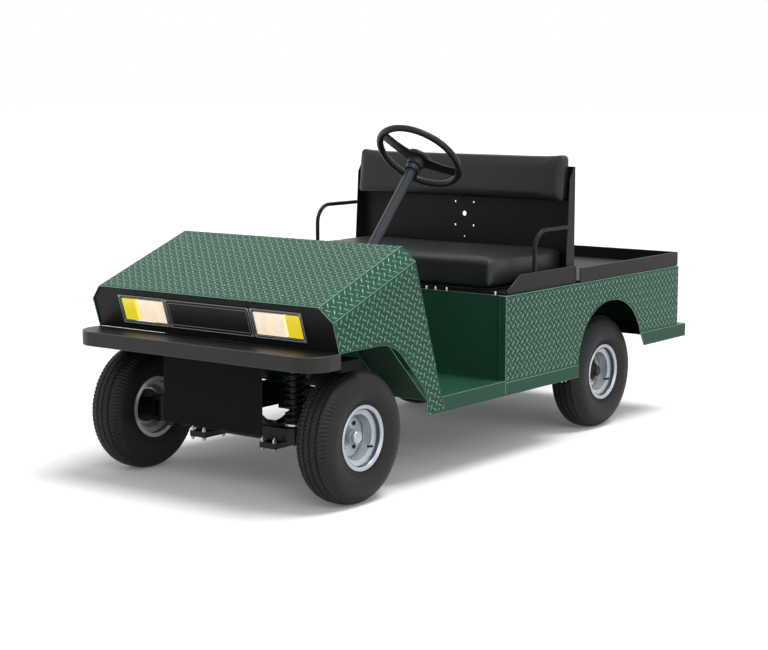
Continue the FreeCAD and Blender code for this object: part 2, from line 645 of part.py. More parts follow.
def makeHipRails():
    """Bent rods beside the seats, from the brackets back to the back's flanges."""
    body = newBody("hip_rails")
    for (name, side), top in zip(sides, ("hipLeftTop", "hipRightTop")):
        path = newSketch(body, "x", f"{side} * hipX")
        high = f"{top} - hipRod"
        places = [("hipFront", "hipFoot"), ("hipFront", f"{high} - hipBend"), (f"hipFront + hipBend", high),
                  ("hipRear - 24", high)]
        points = [FreeCAD.Vector(number(y), number(z), 0) for y, z in places]
        first = path.addGeometry(Part.LineSegment(points[0], points[1]))
        centre = FreeCAD.Vector(points[2].x, points[1].y, 0)
        circle = Part.Circle(centre, FreeCAD.Vector(0, 0, 1), number("hipBend"))
        path.addGeometry(Part.ArcOfCircle(circle, math.pi / 2, math.pi))
        path.addGeometry(Part.LineSegment(points[2], points[3]))
        pin(path, first, 1, *places[0])
        pin(path, first, 2, *places[1])
        pin(path, first + 2, 1, *places[2])
        pin(path, first + 2, 2, *places[3])
        path.addConstraint(Sketcher.Constraint("Coincident", first, 2, first + 1, 2))
        path.addConstraint(Sketcher.Constraint("Coincident", first + 1, 1, first + 2, 1))
        index = path.addConstraint(Sketcher.Constraint("Radius", first + 1, number("hipBend")))
        path.setExpression(f"Constraints[{index}]", bound("hipBend"))
        section = newSketch(body, "z", "hipFoot")
        drawCircle(section, f"{side} * hipX", "hipFront", "hipRod")
        pipe = body.newObject("PartDesign::AdditivePipe", f"{body.Name}Pipe")
        pipe.Profile = section
        pipe.Spine = path
        doc.recompute()


def leanWithColumn(body):
    """Turn a body whose Z is the steering axis, and set its origin at the steering wheel's centre."""
    turn = FreeCAD.Rotation(FreeCAD.Vector(-1, 0, 0), number("columnLean"))
    body.Placement = FreeCAD.Placement(FreeCAD.Vector(), turn)
    body.setExpression("Placement.Rotation.Angle", bound("columnLean"))
    placed(body, "columnX", "wheelHubY", "wheelHubZ")


def makeSteeringColumn():
    """Fixed column tube with the collar under the hub and the clip to the dash."""
    body = newBody("steering_column")
    rod(body, "z", "columnLow", "columnHigh - columnLow", "0", "0", "columnRadius")
    rod(body, "z", "collarLow", "columnHigh - collarLow", "0", "0", "collarRadius")
    box(body, ("-clipHalf", "clipNear", "clipLow"), ("clipHalf", "clipFar", "clipHigh"))
    bore(body, "z", "0", "0", "columnBore")
    leanWithColumn(body)


def makeSteeringWheel():
    """Three-spoke wheel with its hub and the top of its shaft."""
    body = newBody("steering_wheel")
    sketch = newSketch(body, "y")
    drawCircle(sketch, "rimRing", "0", "rimTube")
    ring = body.newObject("PartDesign::Revolution", f"{body.Name}Ring")
    ring.Profile = sketch
    ring.ReferenceAxis = (sketch, ["V_Axis"])
    ring.Angle = 360
    doc.recompute()
    rod(body, "z", "-hubDepth - 20", "hubDepth + 20", "0", "0", "hubRadius")
    for turn in (33, 132, 231):
        sketch = newSketch(body, "z", "-spokeThick")
        along = (math.cos(math.radians(turn)), math.sin(math.radians(turn)))
        corners = []
        for reach, aside in (("20", -1), ("rimRing - 6", -1), ("rimRing - 6", 1), ("20", 1)):
            corners.append((f"{along[0]:.6f} * ({reach}) - {along[1]:.6f} * {aside} * spokeWide / 2",
                            f"{along[1]:.6f} * ({reach}) + {along[0]:.6f} * {aside} * spokeWide / 2"))
        drawOutline(sketch, corners)
        padded(body, sketch, "spokeThick", "z")
    rod(body, "z", "shaftLow", "-shaftLow - 10", "0", "0", "hubShaft")
    leanWithColumn(body)


def makeSteeringGear():
    """Gear box on the rail: its output shaft points down, and its input stub leans up into the column."""
    body = newBody("steering_gear")
    box(body, ("gearX - gearHalf", "gearFront", "gearLow"), ("gearX + gearHalf", "gearRear", "gearTop"))
    rod(body, "z", "gearShaftLow", "gearLow - gearShaftLow", "pitmanX", "frontAxle", "gearShaft")
    stub = newSketch(body, "y", "wheelHubY - stubLow * sin(columnLean)", "90 - columnLean",
                     ("columnX", "wheelHubZ - stubLow * cos(columnLean)"))
    drawCircle(stub, "0", "0", "stubRadius")
    padded(body, stub, "stubLow - stubHigh", "y")


def makeLinkage():
    """Pitman arm, drag link and tie rod: two parallelograms in plan."""
    pitman = newBody("pitman_arm")
    reachY = "frontAxle + armReach"
    thick = "armThick - 2"
    rod(pitman, "z", "pitmanLow", "gearLow - 2 - pitmanLow", "pitmanX", "frontAxle", "pitmanHub")
    box(pitman, ("pitmanX - armHalf", "frontAxle", "pitmanLow"),
        ("pitmanX + armHalf", reachY, f"pitmanLow + {thick}"))
    rod(pitman, "z", "pitmanLow", thick, "pitmanX", reachY, "armHalf + 2")
    rod(pitman, "z", "pitmanLow", "dragLevel + 8 - pitmanLow", "pitmanX", reachY, "studRadius")
    bore(pitman, "z", "pitmanX", "frontAxle", "gearShaft + fit")
    drag = newBody("drag_link")
    rod(drag, "x", "pitmanX", "kingpinX - pitmanX", reachY, "dragLevel", "linkRadius")
    for x in ("pitmanX", "kingpinX"):
        rod(drag, "z", "dragLevel - ballHalf", "2 * ballHalf", x, reachY, "ballRadius")
    for x in ("pitmanX", "kingpinX"):
        bore(drag, "z", x, reachY, "studRadius + fit")
    tie = newBody("tie_rod")
    rod(tie, "x", "-kingpinX", "2 * kingpinX", reachY, "tieLevel", "tieRadius")
    for x in ("-kingpinX", "kingpinX"):
        rod(tie, "z", "tieLevel - ballHalf", "2 * ballHalf", x, reachY, "ballRadius")
    for x in ("-kingpinX", "kingpinX"):
        bore(tie, "z", x, reachY, "studRadius + fit")


def makeFrontAxle():
    """Beam with kingpin bosses, its kingpins, the shock feet and the spring clamps."""
    body = newBody("front_axle")
    box(body, ("-beamEnd", "frontAxle - beamHalf", "beamLow"), ("beamEnd", "frontAxle + beamHalf", "beamTop"))
    for side in (1, -1):
        ends = ("beamEnd - 6", "kingpinX") if side > 0 else ("-kingpinX", "-beamEnd + 6")
        box(body, (ends[0], "frontAxle - neckHalf", "bossLow"), (ends[1], "frontAxle + neckHalf", "bossTop"))
        rod(body, "z", "bossLow", "bossTop - bossLow", f"{side} * kingpinX", "frontAxle", "bossRadius")
        rod(body, "z", "bossLow - earGap - earThick", "bossTop - bossLow + 2 * (earGap + earThick)",
            f"{side} * kingpinX", "frontAxle", "kingpinRadius")
        ends = ("shockX - 18", "shockX + 18") if side > 0 else ("-shockX - 18", "-shockX + 18")
        box(body, (ends[0], "shockY - 20", "beamLow + 8"),
            (ends[1], "frontAxle - beamHalf", "shockFoot - 20"))
        box(body, (ends[0], "shockY - 20", "shockFoot - 20"), (ends[1], "shockY + 16", "shockFoot"))
        ends = ("railX - 37", "railX + 37") if side > 0 else ("-railX - 37", "-railX + 37")
        box(body, (ends[0], "frontAxle - 58", "beamLow - 22"), (ends[1], "frontAxle + 58", "beamLow"))


def makeKnuckles():
    """Forked knuckles with the spindle and the steering arms."""
    low = "bossLow - earGap - earThick"
    top = "bossTop + earGap + earThick"
    for name, side in sides:
        body = newBody(f"knuckle_{name}")
        start, length = sideSpan(side, "webInner", "webOuter")
        plate(body, "x", start, length, ("frontAxle - webHalf", low), ("frontAxle + webHalf", low),
              ("frontAxle + webHalf", top), ("frontAxle - webHalf", top))
        for level in (low, "bossTop + earGap"):
            rod(body, "z", level, "earThick", f"{side} * kingpinX", "frontAxle", "earRadius")
            ends = ("kingpinX", "webInner") if side > 0 else ("-webInner", "-kingpinX")
            box(body, (ends[0], "frontAxle - webHalf", level),
                (ends[1], "frontAxle + webHalf", f"{level} + earThick"))
        start, length = sideSpan(side, "webOuter", "spindleEnd")
        rod(body, "x", start, length, "frontAxle", "axleLevel", "spindleRadius")
        reachY = "frontAxle + armReach"
        arms = [(low, "tieLevel + 9")]
        if side > 0:
            arms.append(("bossTop + earGap", "dragLevel + 8"))
        for level, stud in arms:
            middle = f"{side} * kingpinX"
            box(body, (f"{middle} - armHalf", "frontAxle + 14", level),
                (f"{middle} + armHalf", reachY, f"{level} + armThick"))
            rod(body, "z", level, "armThick", middle, reachY, "armHalf + 2")
            rod(body, "z", level, f"{stud} - ({level})", middle, reachY, "studRadius")
        bore(body, "z", f"{side} * kingpinX", "frontAxle", "kingpinRadius + fit")


def makeSprings():
    """Leaf springs under the rails, on both axles."""
    body = newBody("leaf_springs")
    ends = (("frontAxle", "beamTop", "springReach", "railFront - springThick - 0.5"),
            ("rearAxle", "axleLevel + tubeRadius", "rearReach", "railRear - springThick - 0.5"))
    for axle, level, reach, tip in ends:
        radius = f"(({reach}) ^ 2 + ({tip} - ({level})) ^ 2) / (2 * ({tip} - ({level})))"
        for name, side in sides:
            start, length = sideSpan(side, "railX - springHalf", "railX + springHalf")
            plate(body, "x", start, length,
                  (f"{axle} - {reach}", tip, radius, -1), (f"{axle} + {reach}", tip),
                  (f"{axle} + {reach}", f"{tip} + springThick", radius, 1),
                  (f"{axle} - {reach}", f"{tip} + springThick"))


def makeShocks():
    body = newBody("front_shocks")
    for side in (1, -1):
        rod(body, "z", "shockFoot", "shockSplit - shockFoot", f"{side} * shockX", "shockY", "shockRod")
        rod(body, "z", "shockSplit", "shockHead - shockSplit", f"{side} * shockX", "shockY", "shockBody")


def makeRearAxle():
    """Axle tube with its gear case, spindle ends and drums, and the motor block ahead of it."""
    body = newBody("rear_axle")
    rod(body, "x", "-tubeEnd", "2 * tubeEnd", "rearAxle", "axleLevel", "tubeRadius")
    rod(body, "x", "-60", "120", "rearAxle", "axleLevel", "80")
    for side in (1, -1):
        start, length = sideSpan(side, "tubeEnd", "rearWheelX + 20")
        rod(body, "x", start, length, "rearAxle", "axleLevel", "spindleRadius")
    motor = newBody("drive_motor")
    box(motor, ("motorX - motorHalf", "motorFront", "motorLow"),
        ("motorX + motorHalf", "rearAxle - 81", "motorTop"))


def makeWheel(name, x, y, side):
    """Tyre, rim and hub of one wheel, turned about its own axis with its outer face to one side."""
    tyre = newBody(f"tyre_{name}")
    turned(tyre, ("-tyreHalf + 14.5", "beadRadius"), ("-tyreHalf + 14.5", "rimRadius + 2"),
           ("-tyreHalf + 4", "beadRadius + 32"),
           ("-tyreHalf", "tyreRadius * 0.72"), ("-tyreHalf + 3", "tyreRadius * 0.88"),
           ("-tyreHalf * 0.78", "tyreRadius * 0.955"), ("-tyreHalf * 0.42", "tyreRadius * 0.993"),
           ("0", "tyreRadius"), ("tyreHalf * 0.42", "tyreRadius * 0.993"),
           ("tyreHalf * 0.78", "tyreRadius * 0.955"), ("tyreHalf - 3", "tyreRadius * 0.88"),
           ("tyreHalf", "tyreRadius * 0.72"), ("tyreHalf - 4", "beadRadius + 32"),
           ("tyreHalf - 14.5", "rimRadius + 2"), ("tyreHalf - 14.5", "beadRadius"),
           ("tyreHalf - 26", "beadRadius"),
           ("tyreHalf - 16", "tyreRadius * 0.72"), ("tyreHalf - 20", "tyreRadius * 0.86"),
           ("0", "tyreRadius * 0.92"), ("-tyreHalf + 20", "tyreRadius * 0.86"),
           ("-tyreHalf + 16", "tyreRadius * 0.72"), ("-tyreHalf + 26", "beadRadius"))
    rim = newBody(f"rim_{name}")
    seat = "beadRadius - 0.5"
    deep = f"{seat} - rimWall"
    disc = f"{side} * discOffset"
    near, far = f"({disc} - rimWall / 2 - 1)", f"({disc} + rimWall / 2 + 1)"
    turned(rim, ("-rimHalf", "rimRadius"), ("-rimHalf + 2.5", "rimRadius"), ("-rimHalf + 2.5", seat),
           ("-rimHalf + 22", seat), ("-rimHalf + 28", "wellRadius"), ("rimHalf - 28", "wellRadius"),
           ("rimHalf - 22", seat), ("rimHalf - 2.5", seat), ("rimHalf - 2.5", "rimRadius"),
           ("rimHalf", "rimRadius"), ("rimHalf", deep), ("rimHalf - 20", deep),
           ("rimHalf - 26", "wellRadius - rimWall"), (far, "wellRadius - rimWall"), (far, "hubBody + 8"),
           (near, "hubBody + 8"), (near, "wellRadius - rimWall"), ("-rimHalf + 26", "wellRadius - rimWall"),
           ("-rimHalf + 20", deep), ("-rimHalf", deep))
    hub = newBody(f"hub_{name}")
    start = f"{disc} - {side} * (rimWall / 2 + 1)"
    spindle = "spindleRadius + fit"
    inner = f"{side} * -50" if "front" in name else f"{side} * -12"
    end = f"{side} * 22"
    cap = f"{side} * 38"
    turned(hub, (inner, spindle), (inner, "hubBody"), (f"{start} - {side} * 8", "hubBody"),
           (f"{start} - {side} * 8", "hubFlange"), (start, "hubFlange"), (start, "hubBody + 7"),
           (f"{end} - {side} * 12", "hubBody + 7"), (f"{end}", "capRadius"), (cap, "capRadius - 6"),
           (cap, "0"), (f"{cap} - {side} * 6", "0"), (f"{cap} - {side} * 6", spindle))
    for body in (tyre, rim, hub):
        placed(body, x, y, "axleLevel")


def makeWheels():
    for end, x, y in (("front", "frontWheelX", "frontAxle"), ("rear", "rearWheelX", "rearAxle")):
        for name, side in sides:
            makeWheel(f"{end}_{name}", f"{side} * {x}", y, side)


def makePedals():
    """Brake and accelerator pads, each on a stem from the toe board."""
    body = newBody("pedals")
    slope = "floorTop + toeFoot"
    head = f"{slope} - pedalHead + pedalLift"
    foot = f"{slope} - pedalFoot + pedalLift"
    for middle, half in (("brakeX", "brakeHalf"), ("speedX", "speedHalf")):
        plate(body, "x", f"{middle} - {half}", f"2 * {half}", ("pedalHead", head), ("pedalFoot", foot),
              ("pedalFoot + pedalThick", f"{foot} + pedalThick"),
              ("pedalHead + pedalThick", f"{head} + pedalThick"))
        plate(body, "x", f"{middle} - stemHalf", "2 * stemHalf",
              ("pedalHead", f"{slope} - pedalHead + 0.5"),
              ("pedalHead + 2 * stemHalf", f"{slope} - pedalHead - 2 * stemHalf + 0.5"),
              ("pedalHead + 2 * stemHalf + 6", f"{slope} - pedalHead - 2 * stemHalf - 6 + pedalLift"),
              ("pedalHead + 8", f"{slope} - pedalHead - 8 + pedalLift"))


makeRails()
makeCrossmembers()
makeApron()
makeBumper()
makeFrontPanel()
makeNoseFittings()
makeCowlTop()
makeCowlSides()
makeDash()
makeFloor()
makeToeBoard()
makePedals()
makeSeatBox()
makeBodySides()
makeSills()
makeRearBumper()
makeRearPanel()
makeDeck()
makeSeatDeck()
makeSeatBrackets()
makeBackPanel()
makeCushions()
makeHipRails()
makeSteeringColumn()
makeSteeringWheel()
makeSteeringGear()
makeLinkage()
makeFrontAxle()
makeKnuckles()
makeSprings()
makeShocks()
makeRearAxle()
makeWheels()

doc.recompute()
for item in doc.Objects:
    if "Invalid" in item.State or "Error" in item.State:
        raise RuntimeError(f"{item.Label} failed: {item.State}")
for piece in pieces:
    if piece.Shape.isNull() or not piece.Shape.isValid():
        raise RuntimeError(f"{piece.Label} has no valid shape")
os.makedirs("parts", exist_ok=True)
for piece in pieces:
    piece.Shape.exportStep(f"parts/{piece.Label}.step")
print(len(pieces), "pieces written")
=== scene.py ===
import json
import math
import bmesh
import bpy
import numpy as np
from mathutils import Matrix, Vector

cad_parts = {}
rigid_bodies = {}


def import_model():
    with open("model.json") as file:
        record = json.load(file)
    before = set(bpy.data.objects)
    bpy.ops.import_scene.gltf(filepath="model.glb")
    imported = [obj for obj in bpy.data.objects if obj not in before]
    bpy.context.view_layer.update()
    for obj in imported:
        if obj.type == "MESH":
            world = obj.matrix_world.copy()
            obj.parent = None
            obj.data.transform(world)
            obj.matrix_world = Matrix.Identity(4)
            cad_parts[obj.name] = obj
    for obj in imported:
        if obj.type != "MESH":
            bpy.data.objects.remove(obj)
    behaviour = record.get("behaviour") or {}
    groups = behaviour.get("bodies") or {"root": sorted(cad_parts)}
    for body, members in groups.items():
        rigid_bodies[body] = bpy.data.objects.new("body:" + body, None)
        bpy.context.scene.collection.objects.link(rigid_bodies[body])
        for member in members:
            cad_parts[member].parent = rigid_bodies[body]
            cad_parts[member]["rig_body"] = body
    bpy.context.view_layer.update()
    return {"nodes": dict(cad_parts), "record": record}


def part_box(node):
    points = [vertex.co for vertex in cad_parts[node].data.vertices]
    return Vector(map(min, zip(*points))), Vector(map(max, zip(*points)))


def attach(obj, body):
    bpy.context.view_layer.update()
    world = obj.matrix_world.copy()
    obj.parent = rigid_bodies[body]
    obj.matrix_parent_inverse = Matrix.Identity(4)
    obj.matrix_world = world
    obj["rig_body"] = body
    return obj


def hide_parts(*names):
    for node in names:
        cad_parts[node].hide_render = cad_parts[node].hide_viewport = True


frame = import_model()
nodes = frame["nodes"]
bodyOf = {name: piece["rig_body"] for name, piece in nodes.items()}
slotOf = {item["node"]: item["material_slot"] for item in frame["record"]["subparts"]}
sides = (("left", 1), ("right", -1))


# Every shape below is three arrays: points, polygon corners in one row, and the corners of each polygon.
# Grid shape: point (i, j) joins (i+1, j), (i+1, j+1) and (i, j+1); a closed direction joins its last row
# to its first.
def gridShape(points, closedRows=False, closedColumns=False):
    rows, columns = points.shape[:2]
    index = np.arange(rows * columns).reshape(rows, columns)
    if closedRows:
        index = np.vstack([index, index[:1]])
    if closedColumns:
        index = np.hstack([index, index[:, :1]])
    quads = np.stack([index[:-1, :-1], index[1:, :-1], index[1:, 1:], index[:-1, 1:]], -1).reshape(-1, 4)
    return points.reshape(-1, 3), quads.ravel(), np.full(len(quads), 4)


# Capped tube: a grid closed round its columns, with one polygon over its first row and one over its last.
def cappedTube(points):
    rows, columns = points.shape[:2]
    grid, order = gridShape(points, closedColumns=True), np.arange(columns)
    return outward((grid[0], np.concatenate([grid[1], order, (order + (rows - 1) * columns)[::-1]]),
                    np.concatenate([grid[2], [columns, columns]])))


def joined(shapes):
    starts = np.cumsum([0] + [len(shape[0]) for shape in shapes[:-1]])
    return (np.vstack([shape[0] for shape in shapes]),
            np.concatenate([shape[1] + start for shape, start in zip(shapes, starts)]),
            np.concatenate([shape[2] for shape in shapes]))


# Volume by fans: each polygon is cut into triangles from its first corner, and a third of their cross
# products with that corner is added up; a shape with a negative volume has its polygons turned round.
def outward(shape):
    points, corners, counts = shape
    starts = np.cumsum(counts) - counts
    owner = np.repeat(np.arange(len(counts)), counts)
    place = np.arange(len(corners)) - starts[owner]
    middle = np.nonzero((place > 0) & (place < counts[owner] - 1))[0]
    first = points[corners[starts[owner[middle]]]]
    volume = np.einsum("ij,ij->", first, np.cross(points[corners[middle]], points[corners[middle + 1]]))
    if volume < 0:
        return points, corners[::-1].copy(), counts[::-1].copy()
    return shape


def linked(name, mesh, body):
    piece = bpy.data.objects.new(name, mesh)
    bpy.context.scene.collection.objects.link(piece)
    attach(piece, body)
    return piece


def makePiece(name, shape, finishName, body, smooth=40, replaced=()):
    points, corners, counts = shape
    mesh = bpy.data.meshes.new(name)
    mesh.vertices.add(len(points))
    mesh.vertices.foreach_set("co", np.ascontiguousarray(points, dtype=np.float32).ravel())
    mesh.loops.add(len(corners))
    mesh.loops.foreach_set("vertex_index", corners.astype(np.int32))
    mesh.polygons.add(len(counts))
    mesh.polygons.foreach_set("loop_start", (np.cumsum(counts) - counts).astype(np.int32))
    mesh.update(calc_edges=True)
    if smooth:
        mesh.shade_smooth()
        mesh.set_sharp_from_angle(angle=math.radians(smooth))
    mesh.materials.append(finish[finishName])
    piece = linked(name, mesh, body)
    if replaced:
        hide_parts(*replaced)
    return piece


# Turned shape: a profile of (reach along the axis, radius) rows; each row goes round as
# centre + reach * axis + radius * (cos a * across + sin a * up). An open profile gets a flat cap at each end.
def turnedShape(profile, centre, axis=(0, 0, 1), steps=48, closed=False, start=0.0):
    profile = np.array(profile, float)
    axis = np.array(axis, float) / np.linalg.norm(axis)
    across = np.cross((0.0, 0.0, 1.0) if abs(axis[2]) < 0.9 else (0.0, 1.0, 0.0), axis)
    across /= np.linalg.norm(across)
    angle = np.linspace(0, 2 * math.pi, steps, endpoint=False) + start
    ring = np.cos(angle)[:, None] * across + np.sin(angle)[:, None] * np.cross(axis, across)
    points = (np.array(centre, float) + profile[None, :, :1] * axis
              + profile[None, :, 1:] * ring[:, None, :])
    shape = gridShape(points, closedRows=True, closedColumns=closed)
    if not closed:
        last = len(profile) - 1
        order = np.arange(steps) * len(profile)
        shape = (shape[0], np.concatenate([shape[1], order[::-1], order + last]),
                 np.concatenate([shape[2], [steps, steps]]))
    return outward(shape)


# Bolt: a washer, a six-sided head with a cut edge and a short thread end, each turned from its own profile.
def boltShape(centre, axis, radius, height=None):
    height = height or radius * 1.2
    washer = turnedShape([(0, radius * 1.35), (radius * 0.2, radius * 1.35)], centre, axis, 20)
    head = turnedShape([(radius * 0.2, radius), (height * 0.8, radius), (height, radius * 0.84)],
                       centre, axis, 6)
    tip = turnedShape([(height, radius * 0.5), (height * 1.35, radius * 0.5), (height * 1.45, radius * 0.4)],
                      centre, axis, 14)
    return joined([washer, head, tip])


# Finishes: colours are linear, and lengths are metres. grain is the noise scale and depth its height, wave the
# height of slow dents, fleck how much lighter the specks are, dust how much of the low dust shows, and shine
# the specular level.
finishes = dict(
    greenPaint=dict(colour=(0.019, 0.076, 0.043), rough=0.36, shine=0.12, grain=900, depth=0.00012,
                    dust=0.05),
    # The lugs' lighter green is a painted highlight, standing in for the light the lug tops catch.
    greenLugHighlight=dict(colour=(0.075, 0.220, 0.140), rough=0.20, shine=0.50, coat=0.45, grain=700, depth=0.00008,
                  dust=0.05),
    # Each edge finish here is a lighter copy of its paint, laid on the rounded edges as a painted highlight.
    greenEdgeHighlight=dict(colour=(0.200, 0.390, 0.290), rough=0.28, shine=0.50, coat=0.30, grain=700, depth=0.00010),
    blackPaint=dict(colour=(0.0075, 0.0080, 0.0075), rough=0.42, shine=0.18, grain=1400, depth=0.00010),
    # A darker copy of the black paint for the apron and the frame under the body: painted shade.
    paintedShadeBlack=dict(colour=(0.0040, 0.0044, 0.0038), rough=0.50, shine=0.06, grain=1400, depth=0.00010),
    blackEdgeHighlight=dict(colour=(0.035, 0.037, 0.038), rough=0.34, shine=0.40, grain=1200, depth=0.00008),
    bumperPaint=dict(colour=(0.0120, 0.0125, 0.0125), rough=0.40, shine=0.35, grain=1300, depth=0.00010),
    bumperEdgeHighlight=dict(colour=(0.070, 0.072, 0.074), rough=0.34, shine=0.40, grain=1200, depth=0.00008),
    vinyl=dict(colour=(0.0105, 0.0125, 0.0135), rough=0.42, shine=0.38, grain=620, depth=0.00030,
               wave=0.0016),
    mouldedBlack=dict(colour=(0.0060, 0.0062, 0.0066), rough=0.36, shine=0.34, grain=1500, depth=0.00008),
    columnPaint=dict(colour=(0.0120, 0.0170, 0.0240), rough=0.30, shine=0.45, grain=1300, depth=0.00006),
    deckPaint=dict(colour=(0.0110, 0.0118, 0.0120), rough=0.55, shine=0.25, grain=420, depth=0.00050,
                   fleck=0.09),
    rubber=dict(colour=(0.0085, 0.0092, 0.0100), rough=0.55, shine=0.26, grain=1100, depth=0.00020,
                dust=0.08),
    rimSilver=dict(colour=(0.50, 0.54, 0.58), rough=0.26, metal=0.40, coat=0.30, grain=1500, depth=0.00005),
    rimBand=dict(colour=(0.10, 0.13, 0.18), rough=0.34, metal=0.45, coat=0.20, grain=1500, depth=0.00005),
    zinc=dict(colour=(0.50, 0.50, 0.48), rough=0.28, metal=0.90, grain=900, depth=0.00008, dust=0.10),
    darkSteel=dict(colour=(0.0100, 0.0100, 0.0100), rough=0.42, shine=0.30, metal=0.30, grain=900,
                   depth=0.00020,
                   dust=0.06),
    bezelGrey=dict(colour=(0.050, 0.060, 0.062), rough=0.34, metal=0.45, grain=1300, depth=0.00010),
    bezelEdge=dict(colour=(0.300, 0.330, 0.340), rough=0.30, metal=0.45, grain=1300, depth=0.00008),
    plateGrey=dict(colour=(0.0110, 0.0130, 0.0130), rough=0.40, metal=0.20, shine=0.35, grain=1300,
                   depth=0.00010),
    inkBlack=dict(colour=(0.0030, 0.0030, 0.0030), rough=0.70, shine=0.20, grain=900, depth=0.00010),
)


def groupSocket(group, kind, label, direction, value=None):
    socket = group.interface.new_socket(name=label, in_out=direction, socket_type=kind)
    if value is not None:
        socket.default_value = value
    return socket


def noiseNode(tree, link, vector, scale, detail=3):
    noise = tree.new("ShaderNodeTexNoise")
    noise.inputs["Scale"].default_value = scale
    noise.inputs["Detail"].default_value = detail
    link.new(vector, noise.inputs["Vector"])
    return noise


# Maths node: each value is a number to set or a socket to link.
def mathNode(tree, link, operation, *values):
    node = tree.new("ShaderNodeMath")
    node.operation = operation
    for socket, value in zip(node.inputs, values):
        if isinstance(value, float):
            socket.default_value = value
        else:
            link.new(value, socket)
    return node.outputs["Value"]


# Range node: carries a value from one pair of ends to another.
def rangeNode(tree, link, value, low, high, newLow=0.0, newHigh=1.0):
    node = tree.new("ShaderNodeMapRange")
    for label, end in (("From Min", low), ("From Max", high), ("To Min", newLow), ("To Max", newHigh)):
        node.inputs[label].default_value = end
    link.new(value, node.inputs["Value"])
    return node.outputs["Result"]


# Paint surface: fine noise gives the grain's height and a slower one the dents; the mottle drives small changes
# of colour and gloss, and the specks are the highest peaks of a third noise.
def makeSurfaceGroup():
    group = bpy.data.node_groups.new("paintSurface", "ShaderNodeTree")
    for label, value in (("Grain", 1000.0), ("Depth", 0.0001), ("Wave", 0.0002)):
        groupSocket(group, "NodeSocketFloat", label, "INPUT", value)
    groupSocket(group, "NodeSocketVector", "Normal", "OUTPUT")
    groupSocket(group, "NodeSocketFloat", "Mottle", "OUTPUT")
    groupSocket(group, "NodeSocketFloat", "Specks", "OUTPUT")
    tree, link = group.nodes, group.links
    start, end = tree.new("NodeGroupInput"), tree.new("NodeGroupOutput")
    place = tree.new("ShaderNodeTexCoord").outputs["Object"]
    slowDent = noiseNode(tree, link, place, 9, 2)
    dent = tree.new("ShaderNodeBump")
    dent.inputs["Strength"].default_value = 0.5
    link.new(start.outputs["Wave"], dent.inputs["Distance"])
    link.new(slowDent.outputs["Fac"], dent.inputs["Height"])
    fine = noiseNode(tree, link, place, 1, 3)
    link.new(start.outputs["Grain"], fine.inputs["Scale"])
    bump = tree.new("ShaderNodeBump")
    bump.inputs["Strength"].default_value = 0.6
    link.new(start.outputs["Depth"], bump.inputs["Distance"])
    link.new(fine.outputs["Fac"], bump.inputs["Height"])
    link.new(dent.outputs["Normal"], bump.inputs["Normal"])
    slow = noiseNode(tree, link, place, 6, 5)
    speck = noiseNode(tree, link, place, 240, 2)
    peak = rangeNode(tree, link, speck.outputs["Fac"], 0.60, 0.68)
    link.new(bump.outputs["Normal"], end.inputs["Normal"])
    link.new(slow.outputs["Fac"], end.inputs["Mottle"])
    link.new(peak, end.inputs["Specks"])
    return group


dust = dict(top=0.42, colour=(0.105, 0.098, 0.088, 1))


# Low dust: strongest at the ground and gone at its top height, broken up by noise.
def makeDustGroup():
    group = bpy.data.node_groups.new("lowDust", "ShaderNodeTree")
    groupSocket(group, "NodeSocketFloat", "Amount", "INPUT", 0.2)
    groupSocket(group, "NodeSocketFloat", "Mask", "OUTPUT")
    tree, link = group.nodes, group.links
    start, end = tree.new("NodeGroupInput"), tree.new("NodeGroupOutput")
    place = tree.new("ShaderNodeTexCoord").outputs["Object"]
    axes = tree.new("ShaderNodeSeparateXYZ")
    link.new(place, axes.inputs["Vector"])
    height = rangeNode(tree, link, axes.outputs["Z"], 0.0, dust["top"], 1.0, 0.0)
    patches = noiseNode(tree, link, place, 22, 6)
    both = mathNode(tree, link, "MULTIPLY", height, patches.outputs["Fac"])
    link.new(mathNode(tree, link, "MULTIPLY", both, start.outputs["Amount"]), end.inputs["Mask"])
    return group


surfaceGroup, dustGroup = makeSurfaceGroup(), makeDustGroup()
dustColour = dust["colour"]


def mixColours(tree, link, factor, first, second):
    mix = tree.new("ShaderNodeMix")
    mix.data_type = "RGBA"
    for socket, value in ((mix.inputs[6], first), (mix.inputs[7], second)):
        if isinstance(value, tuple):
            socket.default_value = value
        else:
            link.new(value, socket)
    link.new(factor, mix.inputs[0])
    return mix.outputs[2]


def makeFinish(name, colour, rough, grain, depth, metal=0.0, coat=0.0, wave=0.0003, fleck=0.0, dust=0.0,
               shine=0.5):
    material = bpy.data.materials.new(name)
    material.use_nodes = True
    tree, link = material.node_tree.nodes, material.node_tree.links
    shader = tree["Principled BSDF"]
    shader.inputs["Metallic"].default_value = metal
    shader.inputs["Coat Weight"].default_value = coat
    shader.inputs["Specular IOR Level"].default_value = shine
    shader.inputs["Coat Roughness"].default_value = 0.12
    surface = tree.new("ShaderNodeGroup")
    surface.name = "surface"
    surface.node_tree = surfaceGroup
    for label, value in (("Grain", grain), ("Depth", depth), ("Wave", wave)):
        surface.inputs[label].default_value = value
    link.new(surface.outputs["Normal"], shader.inputs["Normal"])
    tone = mixColours(tree, link, surface.outputs["Mottle"], (*[value * 0.84 for value in colour], 1),
                      (*[value * 1.16 for value in colour], 1))
    if fleck:
        tone = mixColours(tree, link, surface.outputs["Specks"], tone,
                          (*[value + fleck for value in colour], 1))
    if dust:
        layer = tree.new("ShaderNodeGroup")
        layer.node_tree = dustGroup
        layer.inputs["Amount"].default_value = dust
        tone = mixColours(tree, link, layer.outputs["Mask"], tone, dustColour)
    link.new(tone, shader.inputs["Base Color"])
    gloss = rangeNode(tree, link, surface.outputs["Mottle"], 0.0, 1.0, rough * 0.85, rough * 1.15)
    link.new(gloss, shader.inputs["Roughness"])
    return material


finish = {name: makeFinish(name, **values) for name, values in finishes.items()}

